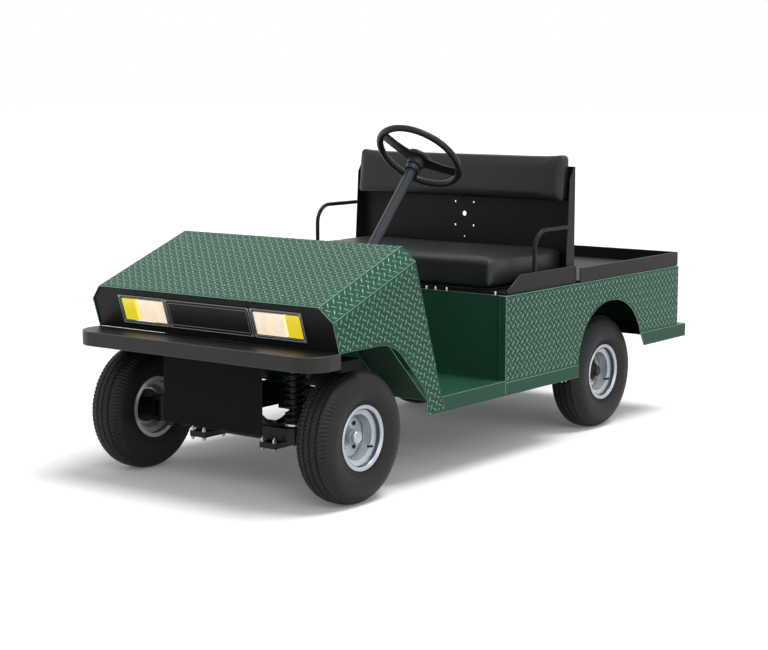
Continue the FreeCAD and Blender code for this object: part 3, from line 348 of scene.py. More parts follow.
lens = dict(clear=(0.98, 0.86, 0.70, 1), amber=(0.72, 0.58, 0.02, 1), shade=(0.80, 0.62, 0.42, 1),
            split=0.345,
            glow=0.80, rough=0.12, coat=0.6, blotches=38, ribs=260.0 / 6, ribDeep=0.0012)


# Lens: warm white up to the split across the vehicle and amber outside it, with upright ribs as a bump.
def makeLens():
    material = bpy.data.materials.new("lampLens")
    material.use_nodes = True
    tree, link = material.node_tree.nodes, material.node_tree.links
    shader = tree["Principled BSDF"]
    place = tree.new("ShaderNodeTexCoord").outputs["Object"]
    axes = tree.new("ShaderNodeSeparateXYZ")
    link.new(place, axes.inputs["Vector"])
    across = mathNode(tree, link, "ABSOLUTE", axes.outputs["X"])
    outer = mathNode(tree, link, "GREATER_THAN", across, lens["split"])
    blotch = noiseNode(tree, link, place, lens["blotches"], 3)
    dim = mixColours(tree, link, blotch.outputs["Fac"], lens["shade"], lens["clear"])
    colour = mixColours(tree, link, outer, dim, lens["amber"])
    link.new(colour, shader.inputs["Base Color"])
    link.new(colour, shader.inputs["Emission Color"])
    shader.inputs["Emission Strength"].default_value = lens["glow"]
    shader.inputs["Roughness"].default_value = lens["rough"]
    shader.inputs["Coat Weight"].default_value = lens["coat"]
    ribs = tree.new("ShaderNodeTexWave")
    ribs.inputs["Scale"].default_value = lens["ribs"]
    link.new(place, ribs.inputs["Vector"])
    bump = tree.new("ShaderNodeBump")
    bump.inputs["Distance"].default_value = lens["ribDeep"]
    link.new(ribs.outputs["Fac"], bump.inputs["Height"])
    link.new(bump.outputs["Normal"], shader.inputs["Normal"])
    return material


finish["lampLens"] = makeLens()


tyreRings = dict(pitch=1100.0, outer=0.205, inner=0.195, deep=0.0002)


# Tyre rings: sin(pitch * turnRadius), faded out between the two radii, is a fine bump on the sidewall.
def addTyreRings(material):
    tree, link = material.node_tree.nodes, material.node_tree.links
    shader = tree["Principled BSDF"]
    radius = tree.new("ShaderNodeAttribute")
    radius.attribute_name = "turnRadius"
    pitch = mathNode(tree, link, "MULTIPLY", radius.outputs["Fac"], tyreRings["pitch"])
    wall = rangeNode(tree, link, radius.outputs["Fac"], tyreRings["outer"], tyreRings["inner"])
    rings = mathNode(tree, link, "MULTIPLY", mathNode(tree, link, "SINE", pitch), wall)
    bump = tree.new("ShaderNodeBump")
    bump.inputs["Distance"].default_value = tyreRings["deep"]
    bump.inputs["Strength"].default_value = 0.5
    link.new(rings, bump.inputs["Height"])
    link.new(tree["surface"].outputs["Normal"], bump.inputs["Normal"])
    link.new(bump.outputs["Normal"], shader.inputs["Normal"])


addTyreRings(finish["rubber"])
print("finishes made")

slotFinish = dict(
    green_tread_plate="greenPaint", green_plain="greenPaint", black_steel="blackPaint", black_vinyl="vinyl",
    black_moulded="mouldedBlack", tyre_rubber="rubber", rim_silver="rimSilver", hub_zinc="zinc",
    bezel_grey="bezelGrey", plate_grey="plateGrey", lamp_lens="lampLens", link_steel="darkSteel")
# Edge finish of each finish: a lighter one on the bevelled edges, painting the highlight that folds and corners
# catch.
edgeHighlightFinish = dict(greenPaint="greenEdgeHighlight", paintedShadeBlack="blackPaint", blackPaint="blackEdgeHighlight",
                  bumperPaint="bumperEdgeHighlight",
                  bezelGrey="bezelEdge", plateGrey="bezelGrey", deckPaint="blackEdgeHighlight")
# The apron, frame rails and crossmembers take the darker black as painted shade.
ownFinish = dict(front_bumper="bumperPaint", front_apron="paintedShadeBlack", frame_crossmembers="paintedShadeBlack",
                 frame_rails="paintedShadeBlack", steering_column="columnPaint", deck_floor="deckPaint",
                 hub_rear_left="darkSteel", hub_rear_right="darkSteel", front_axle="darkSteel",
                 rear_axle="darkSteel", leaf_springs="darkSteel", knuckle_left="darkSteel",
                 knuckle_right="darkSteel", drive_motor="darkSteel")


def finishOf(name):
    return ownFinish.get(name, slotFinish[slotOf[name]])


for name, piece in nodes.items():
    piece.data.materials.clear()
    piece.data.materials.append(finish[finishOf(name)])


# Dressed copy: the node's shape with its doubles merged and its flat faces joined. Its edges get a small round
# in a lighter copy of its finish, a painted highlight along the edges, and the copy stands for the node.
def dressed(name, width, segments=2, flat=1.0, angle=30):
    work = bmesh.new()
    work.from_mesh(nodes[name].data)
    bmesh.ops.remove_doubles(work, verts=work.verts, dist=1e-5)
    bmesh.ops.dissolve_limit(work, angle_limit=math.radians(flat), verts=work.verts, edges=work.edges)
    mesh = bpy.data.meshes.new(name + "_skin")
    work.to_mesh(mesh)
    work.free()
    mesh.shade_smooth()
    chosen = finishOf(name)
    mesh.materials.clear()
    mesh.materials.append(finish[chosen])
    mesh.materials.append(finish[edgeHighlightFinish.get(chosen, chosen)])
    mesh.polygons.foreach_set("material_index", np.zeros(len(mesh.polygons), np.int32))
    piece = linked(name + "_skin", mesh, bodyOf[name])
    bevel = piece.modifiers.new("edgeRound", "BEVEL")
    bevel.width, bevel.segments, bevel.limit_method = width, segments, "ANGLE"
    bevel.angle_limit = math.radians(angle)
    bevel.material = 1
    even = piece.modifiers.new("evenNormals", "WEIGHTED_NORMAL")
    even.keep_sharp = True
    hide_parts(name)
    return piece


dressWidths = dict(
    cowl_top=0.0012, cowl_side_left=0.0010, cowl_side_right=0.0010, body_side_left=0.0012,
    body_side_right=0.0012, side_sills=0.0012, rear_bumper=0.0012, rear_panel=0.0010, seat_box_front=0.0010,
    floor_pan=0.0010, toe_board=0.0010, front_panel=0.0010, dash_panel=0.0010, front_bumper=0.0020,
    front_apron=0.0012, deck_rails=0.0015, deck_floor=0.0010, seat_brackets=0.0012, back_panel=0.0010,
    lamp_bezel_left=0.0012, lamp_bezel_right=0.0012, nose_plate=0.0012, seat_deck=0.0008,
    steering_gear=0.0020, front_axle=0.0020)
for name, width in dressWidths.items():
    dressed(name, width)
print("sheet metal dressed")


# Tread plate: raised lugs on a square lattice, one kind turned +45 degrees on its points and the other turned
# -45 degrees half a step away, so each lug's ends point at its neighbours' middles.
tread = dict(step=0.032, long=0.0265, wide=0.0072, high=0.0014, sink=0.0003, margin=1.12, flatness=0.985,
             rake=20.3, sillTop=0.309, panelLow=0.378, archFront=0.872)


# Lens outline: half-width = wide / 2 * (1 - t * t) at t from -1 to 1 along the lug.
def lugOutline(long, wide):
    t = np.array([-1.0, -0.62, -0.2, 0.2, 0.62, 1.0])
    upper = np.stack([t * long / 2, wide / 2 * (1 - t ** 2)], 1)
    lower = np.stack([t[4:0:-1] * long / 2, -wide / 2 * (1 - t[4:0:-1] ** 2)], 1)
    return np.vstack([upper, lower])[::-1]


# A point is inside a triangle when it lies on the same side of its three edges.
def insideAny(points, triangles):
    a, b, c = (triangles[None, :, i] for i in range(3))
    p = points[:, None]
    cross = lambda u, v: u[..., 0] * v[..., 1] - u[..., 1] * v[..., 0]
    d1, d2, d3 = cross(b - a, p - a), cross(c - b, p - b), cross(a - c, p - c)
    return (((d1 >= 0) & (d2 >= 0) & (d3 >= 0)) | ((d1 <= 0) & (d2 <= 0) & (d3 <= 0))).any(1)


def trianglesOf(name):
    mesh = nodes[name].data
    mesh.calc_loop_triangles()
    corners = np.empty(len(mesh.loop_triangles) * 3, np.int32)
    mesh.loop_triangles.foreach_get("vertices", corners)
    points = np.empty(len(mesh.vertices) * 3, np.float32)
    mesh.vertices.foreach_get("co", points)
    return points.reshape(-1, 3).astype(float)[corners].reshape(-1, 3, 3)


# Lugs of one flat face: the node's triangles that look along the normal are flattened onto it. Whole lugs that
# fall inside stay, and where one doesn't, each of its halves is tried. Lugs stay above low, and none stands in
# the corner behind shun's first value and under its second.
def treadLugs(name, toward, along, low=None, shun=None):
    triangles = trianglesOf(name)
    normals = np.cross(triangles[:, 1] - triangles[:, 0], triangles[:, 2] - triangles[:, 0])
    size = np.linalg.norm(normals, axis=1)
    normals /= np.maximum(size, 1e-12)[:, None]
    toward = np.array(toward, float) / np.linalg.norm(toward)
    facing = (normals @ toward > 0.93) & (size > 0)
    toward = (normals[facing] * size[facing, None]).sum(0)
    toward /= np.linalg.norm(toward)
    facing = (normals @ toward > tread["flatness"]) & (size > 0)
    height = (triangles[facing] @ toward).max()
    facing &= (triangles @ toward).max(1) > height - 0.001
    along = np.array(along, float)
    along -= toward * (along @ toward)
    along /= np.linalg.norm(along)
    beside = np.cross(toward, along)
    flat = np.stack([triangles[facing] @ along, triangles[facing] @ beside], -1)
    step = tread["step"]
    first, last = np.floor(flat.min((0, 1)) / step), np.ceil(flat.max((0, 1)) / step)
    u, v = np.meshgrid(np.arange(first[0], last[0] + 1), np.arange(first[1], last[1] + 1), indexing="ij")
    centres = np.stack([u.ravel(), v.ravel()], 1) * step
    centres = np.vstack([centres, centres + step / 2])
    turns = np.where(np.arange(len(centres)) < len(centres) / 2, 1, -1) * math.pi / 4
    left, found = np.ones(len(centres), bool), []
    for share, shift in ((1.0, 0.0), (0.5, -0.25), (0.5, 0.25)):
        outline = lugOutline(tread["long"] * share, tread["wide"] * (0.9 if share < 1 else 1))
        spin = np.stack([np.cos(turns), -np.sin(turns), np.sin(turns), np.cos(turns)], 1).reshape(-1, 2, 2)
        middle = centres + spin[:, :, 0] * tread["long"] * shift
        placedOutline = middle[:, None] + np.einsum("nij,kj->nki", spin, outline)
        test = middle[:, None] + (placedOutline - middle[:, None]) * tread["margin"]
        fits = insideAny(test.reshape(-1, 2), flat).reshape(len(centres), -1).all(1) & left
        if low is not None or shun is not None:
            place = placedOutline[:, :, :1] * along + placedOutline[:, :, 1:] * beside + toward * height
            if low is not None:
                fits &= (place[:, :, 2] > low).all(1)
            if shun is not None:
                fits &= ~((place[:, :, 1] > shun[0]) & (place[:, :, 2] < shun[1])).any(1)
        if share == 1.0:
            left = ~fits
        found.append((middle[fits], placedOutline[fits]))
    middle = np.vstack([item[0] for item in found])
    outline = np.vstack([item[1] for item in found])
    rings = []
    for grow, rise in ((1.0, -tread["sink"]), (0.86, tread["high"] * 0.7), (0.45, tread["high"])):
        ring = middle[:, None] + (outline - middle[:, None]) * grow
        rings.append(ring[:, :, :1] * along + ring[:, :, 1:] * beside + toward * (height + rise))
    return stackedRings(np.stack(rings, 1))


# Stacked rings: for many like pieces at once, point (n, ring, k) joins the next ring and the next k, and the
# lowest and highest rings are closed.
def stackedRings(rings):
    count, levels, around = rings.shape[:3]
    index = np.arange(count * levels * around).reshape(count, levels, around)
    turned = np.roll(index, -1, 2)
    quads = np.stack([index[:, :-1], turned[:, :-1], turned[:, 1:], index[:, 1:]], -1).reshape(-1, 4)
    corners = np.concatenate([quads.ravel(), index[:, 0, ::-1].ravel(), index[:, -1].ravel()])
    return outward((rings.reshape(-1, 3), corners,
                    np.concatenate([np.full(len(quads), 4), np.full(2 * count, around)])))


rake = math.radians(tread["rake"])
upHood = (0, math.cos(rake), math.sin(rake))
hoodLugs = [treadLugs("cowl_top", (0, -math.sin(rake), math.cos(rake)), upHood),
            treadLugs("cowl_top", (0.70, -0.25, 0.67), upHood), treadLugs("cowl_top", (-0.70, -0.25, 0.67),
                                                                          upHood)]
# The lugs take the lighter green as a painted highlight.
makePiece("cowl_top_tread", joined(hoodLugs), "greenLugHighlight", bodyOf["cowl_top"], 70)
for side, sign in sides:
    makePiece("cowl_side_tread_" + side, treadLugs("cowl_side_" + side, (sign, 0, 0), upHood), "greenLugHighlight",
              bodyOf["cowl_top"], 70)
    makePiece("body_side_tread_" + side,
              treadLugs("body_side_" + side, (sign, 0, 0), (0, 1, 0), tread["sillTop"],
                        (tread["archFront"], tread["panelLow"])), "greenLugHighlight",
              bodyOf["cowl_top"], 70)
makePiece("rear_panel_tread", treadLugs("rear_panel", (0, 1, 0), (1, 0, 0), tread["panelLow"]), "greenLugHighlight",
          bodyOf["cowl_top"], 70)
print("tread plate made")


tyre = dict(radius=0.232, half=0.071, crown=0.167, wallDrop=0.014, bead=0.102, pitches=92, samples=8,
            grooves=(0.012, 0.036), grooveWide=0.0050, grooveDeep=0.006, sway=0.0032, notchDeep=0.0050,
            sipeDeep=0.0012)


# Tyre: the section (reach, radius) follows |x / half| ^ 2.6 + |(r - crown) / (radius - crown)| ^ 2.2 = 1 above
# the crown line and a parabola down to the bead. Each angle moves the tread sideways by a zigzag of the same
# pitch, and the grooves, shoulder notches and thin cuts lower the radius by their own pulses.
def tyreShape(centre):
    half, crown, rise = tyre["half"], tyre["crown"], tyre["radius"] - tyre["crown"]
    rows = [(0.0, 0)]
    for groove in tyre["grooves"]:
        wide = tyre["grooveWide"] / 2
        rows += [(groove - wide, 0), (groove - wide * 0.6, 1), (groove + wide * 0.6, 1), (groove + wide, 0)]
        if groove == tyre["grooves"][0]:
            rows.append((0.024, 0))
    rows += [(value, 0) for value in (0.044, 0.0495, 0.055, 0.0600, 0.0640, 0.0675, 0.0698, 0.0707)]
    reach = np.array([row[0] for row in rows])
    sunk = np.array([row[1] for row in rows], float)
    radius = crown + rise * (1 - (reach / half) ** 2.6) ** (1 / 2.2)
    low = np.array([0.167, 0.160, 0.158, 0.150, 0.141, 0.132, 0.123, 0.115])
    line = np.abs(low - 0.159) < 0.002        # a thin raised line round the sidewall
    wall = half - tyre["wallDrop"] * ((crown - low) / 0.052) ** 2 + np.where(line, 0, -0.0004)
    reach = np.concatenate([reach, wall, [0.0565, 0.0562]])
    radius = np.concatenate([radius, low, [0.107, tyre["bead"]]])
    sunk = np.concatenate([sunk, np.zeros(len(low) + 2)])
    reach = np.concatenate([-reach[:0:-1], reach])
    radius = np.concatenate([radius[:0:-1], radius])
    sunk = np.concatenate([sunk[:0:-1], sunk])
    count = tyre["pitches"] * tyre["samples"]
    phase = (np.arange(count) % tyre["samples"]) / tyre["samples"]
    angle = np.arange(count) * 2 * math.pi / count
    zigzag = 1 - 4 * np.abs(phase - 0.5)
    onTread = np.clip((0.052 - np.abs(reach)) / 0.010, 0, 1)
    x = reach[None] + tyre["sway"] * zigzag[:, None] * onTread[None]
    shoulder = (np.abs(reach) > 0.048) & (np.abs(reach) < 0.0655)
    slant = (phase[:, None] + np.abs(reach)[None] * 18) % 1.0
    notch = shoulder[None] * np.clip(1.6 - np.abs(slant - 0.5) * 8, 0, 1)
    rib = (sunk == 0) & (np.abs(reach) < 0.046)
    cut = rib[None] * (np.abs(phase - 0.5) < 0.01)[:, None]
    r = (radius[None] - tyre["grooveDeep"] * sunk[None] - tyre["notchDeep"] * notch - tyre["sipeDeep"] * cut)
    points = np.stack([x, r * np.cos(angle)[:, None], r * np.sin(angle)[:, None]], -1) + np.array(centre)
    return outward(gridShape(points, closedRows=True, closedColumns=True)), np.broadcast_to(r,
                                                                                            x.shape).ravel()


# Rim: a closed section turned round the axle, with a rolled double lip outside. The disc closes the well.
rim = dict(half=0.060, lip=0.113, seat=0.1012, deep=0.0985, well=0.082, wall=0.003, disc=0.006,
           holeSpan=0.80, holeInner=0.0305, holeOuter=0.0560, discInner=0.024, boltRing=0.049,
           boltAngles=(0.95, 2.19, 4.09, 5.33), valveRing=0.088)


def rimShape(centre, sign):
    half, lip, seat, deep = rim["half"], rim["lip"], rim["seat"], rim["deep"]
    well, thin = rim["well"], rim["well"] - rim["wall"]
    outer = [(half - 0.0035, lip - 0.0012), (half - 0.0025, lip), (half - 0.0010, lip), (half, lip - 0.0012),
             (half, lip - 0.0034), (half - 0.0011, lip - 0.0048), (half - 0.0011, lip - 0.0058),
             (half - 0.0003, lip - 0.0070), (half - 0.0006, lip - 0.0098), (half - 0.0022, lip - 0.0125),
             (half - 0.0050, deep)]
    inner = [(-half, lip), (-half + 0.0025, lip), (-half + 0.0025, seat), (-half + 0.022, seat),
             (-half + 0.028, well), (half - 0.028, well), (half - 0.022, seat), (half - 0.0038, seat)]
    back = [(half - 0.020, deep), (half - 0.026, thin), (-half + 0.026, thin), (-half + 0.020, deep),
            (-half, deep)]
    profile = np.array(inner + outer + back) * (sign, 1)
    return turnedShape(profile, centre, (1, 0, 0), 96, closed=True)


# Inner band: a thin cone and step just inside the lip, in the darker finish.
def bandShape(centre, sign):
    half, deep = rim["half"], rim["deep"]
    profile = np.array([(half - 0.0065, deep - 0.0002), (half - 0.0195, deep - 0.0002),
                        (half - 0.0195, deep - 0.0010), (half - 0.0065, deep - 0.0010)]) * (sign, 1)
    return turnedShape(profile, centre, (1, 0, 0), 96, closed=True)


# Disc with a hand hole: outside the patch it is a plain ring sector. Inside the patch, rows run from the
# patch's
# rectangle of (angle, radius) to the hole's rounded one, |a / span| ^ 4 + |q / depth| ^ 4 = 1.
def discShape(centre, sign, toward):
    inner, outer = rim["discInner"], rim["well"] - rim["wall"] + 0.0008
    reach = -rim["disc"] * sign
    span, patch = rim["holeSpan"], rim["holeSpan"] + 0.16
    middle, depth = (rim["holeInner"] + rim["holeOuter"]) / 2, (rim["holeOuter"] - rim["holeInner"]) / 2
    angle = np.linspace(patch, 2 * math.pi - patch, 60)[:, None]
    radius = np.linspace(inner, outer, 5)[None]
    spots = [(np.broadcast_to(angle, (60, 5)), np.broadcast_to(radius, (60, 5)))]
    turn = np.linspace(0, 2 * math.pi, 72, endpoint=False)
    cos, sin = np.cos(turn), np.sin(turn)
    hole = (np.abs(cos) ** 4 + np.abs(sin) ** 4) ** -0.25
    edge = 1 / np.maximum(np.abs(cos), np.abs(sin))
    mix = np.linspace(0, 1, 5)[:, None]
    aHole, rHole = span * hole * cos, middle + depth * hole * sin
    aEdge = patch * edge * cos
    rEdge = np.where(sin > 0, middle + (outer - middle) * edge * sin, middle + (middle - inner) * edge * sin)
    spots.append((aHole + (aEdge - aHole) * mix, rHole + (rEdge - rHole) * mix))
    shapes = []
    for number, (a, r) in enumerate(spots):
        a = a + toward
        points = np.stack([np.full(a.shape, reach), r * np.cos(a), r * np.sin(a)], -1) + np.array(centre)
        shapes.append(gridShape(points, closedColumns=number == 1))
    return joined(shapes)


# One shape at each bolt's spot on the bolt ring.
def atBolts(centre, shapeAt):
    return joined([shapeAt(centre + rim["boltRing"] * np.array((0, math.cos(angle), math.sin(angle))))
                   for angle in rim["boltAngles"]])


# Hub parts: each profile is (reach, radius) from the disc's outer face, and a nut is (radius, height).
hub = dict(
    socket=[(-0.0005, 0.0078), (0.0030, 0.0078), (0.0042, 0.0064), (0.0042, 0.0048), (0.0012, 0.0044)],
    cap=[(0.0, 0.0300), (0.0050, 0.0300), (0.0062, 0.0290), (0.0062, 0.0272), (0.0100, 0.0268),
         (0.0240, 0.0262), (0.0262, 0.0252), (0.0262, 0.0228), (0.0400, 0.0222), (0.0428, 0.0200),
         (0.0428, 0.0166), (0.0416, 0.0150), (0.0416, 0.0060)],
    back=[(-0.0440, 0.0300), (-0.0120, 0.0300), (-0.0110, 0.0600), (-0.0032, 0.0610)],
    stem=[(0, 0.0058), (0.0070, 0.0052), (0.0090, 0.0036), (0.0220, 0.0034), (0.0225, 0.0044),
          (0.0300, 0.0044), (0.0308, 0.0036)],
    nut=(0.0085, 0.011), round=0.0025)


def makeWheel(end, side, sign):
    name = f"{end}_{side}"
    low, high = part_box("rim_" + name)
    centre = (np.array(low) + np.array(high)) / 2
    body = bodyOf["rim_" + name]
    shape, radii = tyreShape(centre)
    piece = makePiece("tyre_tread_" + name, shape, "rubber", body, 38, ["tyre_" + name])
    mark = piece.data.attributes.new("turnRadius", "FLOAT", "POINT")
    mark.data.foreach_set("value", radii.astype(np.float32))
    makePiece("rim_shell_" + name, rimShape(centre, sign), "rimSilver", body, 30,
              ["rim_" + name])
    makePiece("rim_band_" + name, bandShape(centre, sign), "rimBand", body, 30)
    disc = makePiece("rim_disc_" + name, discShape(centre, sign, math.radians(180)), "rimSilver", body, 30)
    wall = disc.modifiers.new("wall", "SOLIDIFY")
    wall.thickness, wall.offset = rim["wall"], 0.0
    face = centre + np.array((sign * (-rim["disc"] + rim["wall"] / 2), 0, 0))
    axis = (sign, 0, 0)
    if end == "front":
        sockets = atBolts(face, lambda spot: turnedShape(hub["socket"], spot, axis, 20))
        makePiece("hub_sockets_" + name, sockets, "darkSteel", body, 40)
        cap = turnedShape(hub["cap"], face, axis, 56)
        makePiece("hub_cap_" + name, cap, "rimSilver", body, 30, ["hub_" + name])
        back = turnedShape(hub["back"], face, axis, 48)
        makePiece("hub_back_" + name, back, "darkSteel", body, 30)
    else:
        nuts = atBolts(face, lambda spot: boltShape(spot, axis, *hub["nut"]))
        makePiece("hub_nuts_" + name, nuts, "zinc", body, 40)
        dressed("hub_" + name, hub["round"])
    stem = centre + np.array((sign * 0.0250, rim["valveRing"] * 0.80, -rim["valveRing"] * 0.52))
    valve = turnedShape(hub["stem"], stem, (sign, -0.45, 0.30), 14)
    makePiece("valve_stem_" + name, valve, "inkBlack", body, 40)


for end in ("front", "rear"):
    for side, sign in sides:
        makeWheel(end, side, sign)
print("wheels made")


cushion = dict(voxel=0.010, pressure=4.0, frames=20, shrink=0.003, cap=0.009, stiff=15.0, corner=0.013,
               samples=14, backLean=0.018)


# Pad blank: a box whose six faces are grids pulled onto a rounded box: each point is clamped to the inner box
# and pushed out from there by the corner radius. Its front then leans back by lean from the bottom to the top.
def padBlank(low, high, lean):
    low, high = np.array(low, float) + cushion["shrink"], np.array(high, float) - cushion["shrink"]
    corner, line = cushion["corner"], np.linspace(-1, 1, cushion["samples"])
    a, b = np.meshgrid(line, line, indexing="ij")
    one = np.ones_like(a)
    shapes = []
    for axis in range(3):
        for sign in (-1, 1):
            parts = [a, b]
            parts.insert(axis, one * sign)
            unit = np.stack(parts, -1)
            spot = (low + high) / 2 + unit * (high - low) / 2
            core = np.clip(spot, low + corner, high - corner)
            away = spot - core
            away /= np.maximum(np.linalg.norm(away, axis=-1, keepdims=True), 1e-9)
            shapes.append(outwardGrid(core + away * corner, unit))
    points, corners, counts = joined(shapes)
    share = (points - low) / (high - low)
    points[:, 1] += lean * share[:, 2] * (1 - share[:, 1])
    return points, corners, counts


def outwardGrid(points, unit):
    shape = gridShape(points)
    first = shape[1][:4]
    normal = np.cross(shape[0][first[1]] - shape[0][first[0]], shape[0][first[2]] - shape[0][first[0]])
    if normal @ unit.reshape(-1, 3).mean(0) < 0:
        return shape[0], shape[1][::-1].copy(), shape[2]
    return shape


# Padded piece: the blank is remeshed, blown up a little by Cloth with pressure and no gravity, every point's
# travel is capped, and the result is written back before one subdivision. The side that rests on its panel is
# laid flat again.
def makePad(name, node, lean, flatAxis, flatSign):
    low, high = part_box(node)
    piece = makePiece(name, padBlank(low, high, lean), "vinyl", bodyOf[node], 0)
    mesh = piece.data
    work = bmesh.new()
    work.from_mesh(mesh)
    bmesh.ops.remove_doubles(work, verts=work.verts, dist=1e-4)
    bmesh.ops.recalc_face_normals(work, faces=work.faces)
    work.to_mesh(mesh)
    work.free()
    remesh = piece.modifiers.new("remesh", "REMESH")
    remesh.mode, remesh.voxel_size = "VOXEL", cushion["voxel"]
    blank = bpy.data.meshes.new_from_object(piece.evaluated_get(bpy.context.evaluated_depsgraph_get()))
    piece.modifiers.clear()
    piece.data = blank
    start = np.empty(len(blank.vertices) * 3)
    blank.vertices.foreach_get("co", start)
    start = start.reshape(-1, 3)
    points = start
    cloth = piece.modifiers.new("padding", "CLOTH")
    cloth.settings.use_pressure = True
    cloth.settings.uniform_pressure_force = cushion["pressure"]
    cloth.settings.tension_stiffness = cushion["stiff"]
    cloth.settings.compression_stiffness = cushion["stiff"]
    cloth.settings.effector_weights.gravity = 0
    cloth.point_cache.frame_end = cushion["frames"]
    for step in range(1, cushion["frames"] + 1):
        bpy.context.scene.frame_set(step)
    swollen = piece.evaluated_get(bpy.context.evaluated_depsgraph_get()).to_mesh()
    points = np.empty(len(blank.vertices) * 3)
    swollen.vertices.foreach_get("co", points)
    points = points.reshape(-1, 3)
    piece.modifiers.clear()
    bpy.context.scene.frame_set(1)
    travel = points - start
    length = np.linalg.norm(travel, axis=1, keepdims=True)
    points = start + travel * np.minimum(1, cushion["cap"] / np.maximum(length, 1e-9))
    rest = (low, high)[flatSign > 0][flatAxis] - flatSign * 0.0008
    column = points[:, flatAxis]
    points[:, flatAxis] = np.where(flatSign * (column - rest) > -cushion["shrink"] * 1.6, rest, column)
    blank.vertices.foreach_set("co", points.ravel())
    blank.shade_smooth()
    blank.materials.clear()
    blank.materials.append(finish["vinyl"])
    smooth = piece.modifiers.new("smooth", "SUBSURF")
    smooth.levels = smooth.render_levels = 1
    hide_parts(node)
    return piece


makePad("seat_cushion_cover", "seat_cushion", 0.0, 2, -1)
makePad("back_cushion_cover", "back_cushion", cushion["backLean"], 1, 1)
print("cushions made")


wheel = dict(centre=(0.218, -0.228, 1.140), lean=42.4, ring=0.160, tubeAcross=0.0134, tubeDeep=0.0118,
             turns=(33, 132, 231), spokeStart=0.026, spokeHub=0.066, spokeMiddle=0.040, spokeRim=0.056,
             thick=0.0125, dish=0.014,
             boss=[(-0.046, 0.0125), (-0.046, 0.0270), (-0.040, 0.0310), (-0.030, 0.0325), (-0.0205, 0.0335),
                   (-0.019, 0.046), (-0.014, 0.0515), (-0.008, 0.0520), (-0.0035, 0.0490), (-0.0015, 0.0440),
                   (-0.0010, 0.0390), (-0.0022, 0.0380), (-0.0012, 0.0365), (-0.0002, 0.0200), (0.0, 0.004)],
             shaft=[(-0.160, 0.012), (-0.040, 0.012)])


# Steering wheel: everything is worked out about Z and then leaned back round X. The ring is an oval tube, and a
# spoke is an oval section carried from the hub to the ring, widest at both ends.
def steeringWheelShape():
    turn = np.linspace(0, 2 * math.pi, 96, endpoint=False)[:, None]
    section = np.linspace(0, 2 * math.pi, 20, endpoint=False)[None]
    reach = wheel["ring"] + wheel["tubeAcross"] * np.cos(section)
    ring = np.stack([reach * np.cos(turn), reach * np.sin(turn),
                     wheel["tubeDeep"] * np.sin(section) + 0 * turn], -1)
    shapes = [outward(gridShape(ring, closedRows=True, closedColumns=True))]
    s = np.linspace(0, 1, 24)[:, None]
    out = wheel["spokeStart"] + s * (wheel["ring"] - wheel["spokeStart"])
    wide = (wheel["spokeHub"] * (1 - s) ** 2 + wheel["spokeMiddle"] * 2.2 * s * (1 - s)
            + wheel["spokeRim"] * s ** 2)
    level = -wheel["dish"] * (1 - s ** 2) - 0.001
    across = wide / 2 * np.sign(np.cos(section)) * np.abs(np.cos(section)) ** 0.7
    deep = wheel["thick"] / 2 * np.sign(np.sin(section)) * np.abs(np.sin(section)) ** 0.7
    for degrees in wheel["turns"]:
        c, n = math.cos(math.radians(degrees)), math.sin(math.radians(degrees))
        spoke = np.stack([out * c - across * n, out * n + across * c, level + deep * (1 - 0.25 * s)], -1)
        shapes.append(cappedTube(spoke))
    shapes.append(turnedShape(wheel["boss"], (0, 0, 0), (0, 0, 1), 64))
    shapes.append(turnedShape(wheel["shaft"], (0, 0, 0), (0, 0, 1), 24))
    points, corners, counts = joined(shapes)
    lean = math.radians(wheel["lean"])
    y, z = points[:, 1].copy(), points[:, 2].copy()
    points = np.stack([points[:, 0], y * math.cos(lean) + z * math.sin(lean),
                       z * math.cos(lean) - y * math.sin(lean)], 1)
    return points + np.array(wheel["centre"]), corners, counts


makePiece("steering_wheel_moulding", steeringWheelShape(), "mouldedBlack", bodyOf["steering_wheel"], 50,
          ["steering_wheel"])
print("steering wheel made")


# Small hardware: bolts, screws and studs, each at its node's own faces.
hardware = dict(screw=0.0042, screwInset=0.0062, faceLean=17.65, clampBolt=0.0068,
                clampX=(-0.192, -0.138, 0.138, 0.192), clampY=(-1.038, -0.936), clampTop=0.180, clampLow=0.158,
                shockX=0.285, shockY=-1.040, coilLow=0.262, coilHigh=0.455, coilRadius=0.0285, wire=0.0050,
                collar=0.034, collarThick=0.006, collarLow=0.256, studBolt=0.0060, studX=0.520,
                studY=(0.318, 0.346), studZ=0.2565, frontX=(0.190, 0.232, 0.284, 0.505), frontY=-0.1385,
                frontZ=0.6300, frontStud=[(0, 0.0042), (0.0135, 0.0042), (0.0150, 0.0030)])
chassis = bodyOf["frame_rails"]


def atCorners(low, high, inset):
    return [(x, z) for x in (low[0] + inset, high[0] - inset) for z in (low[2] + inset, high[2] - inset)]


faceLean = math.radians(hardware["faceLean"])
faceAxis = (0, -math.cos(faceLean), -math.sin(faceLean))
screws = [spot for node in ("lamp_bezel_left", "lamp_bezel_right", "nose_plate")
          for spot in atCorners(*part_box(node), hardware["screwInset"])]


# Nose face: its front plane leans back by faceLean going down, through the bezels' top front edge.
def nosePoint(x, z, proud=0.0):
    low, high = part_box("nose_plate")
    y = low[1] + (high[2] - z) * math.tan(faceLean)
    return np.array((x, y, z)) + np.array(faceAxis) * proud


screwHead = [(-0.001, hardware["screw"]), (0.0006, hardware["screw"]), (0.0014, hardware["screw"] * 0.6)]
heads = [turnedShape(screwHead, nosePoint(x, z), faceAxis, 14) for x, z in screws]
makePiece("nose_screws", joined(heads), "zinc", chassis, 40)

clampRows = []
for x in hardware["clampX"]:
    for y in hardware["clampY"]:
        clampRows.append(boltShape((x, y, hardware["clampTop"]), (0, 0, 1), hardware["clampBolt"], 0.013))
        clampRows.append(boltShape((x, y, hardware["clampLow"]), (0, 0, -1), hardware["clampBolt"], 0.008))
makePiece("clamp_bolts", joined(clampRows), "zinc", chassis, 40)


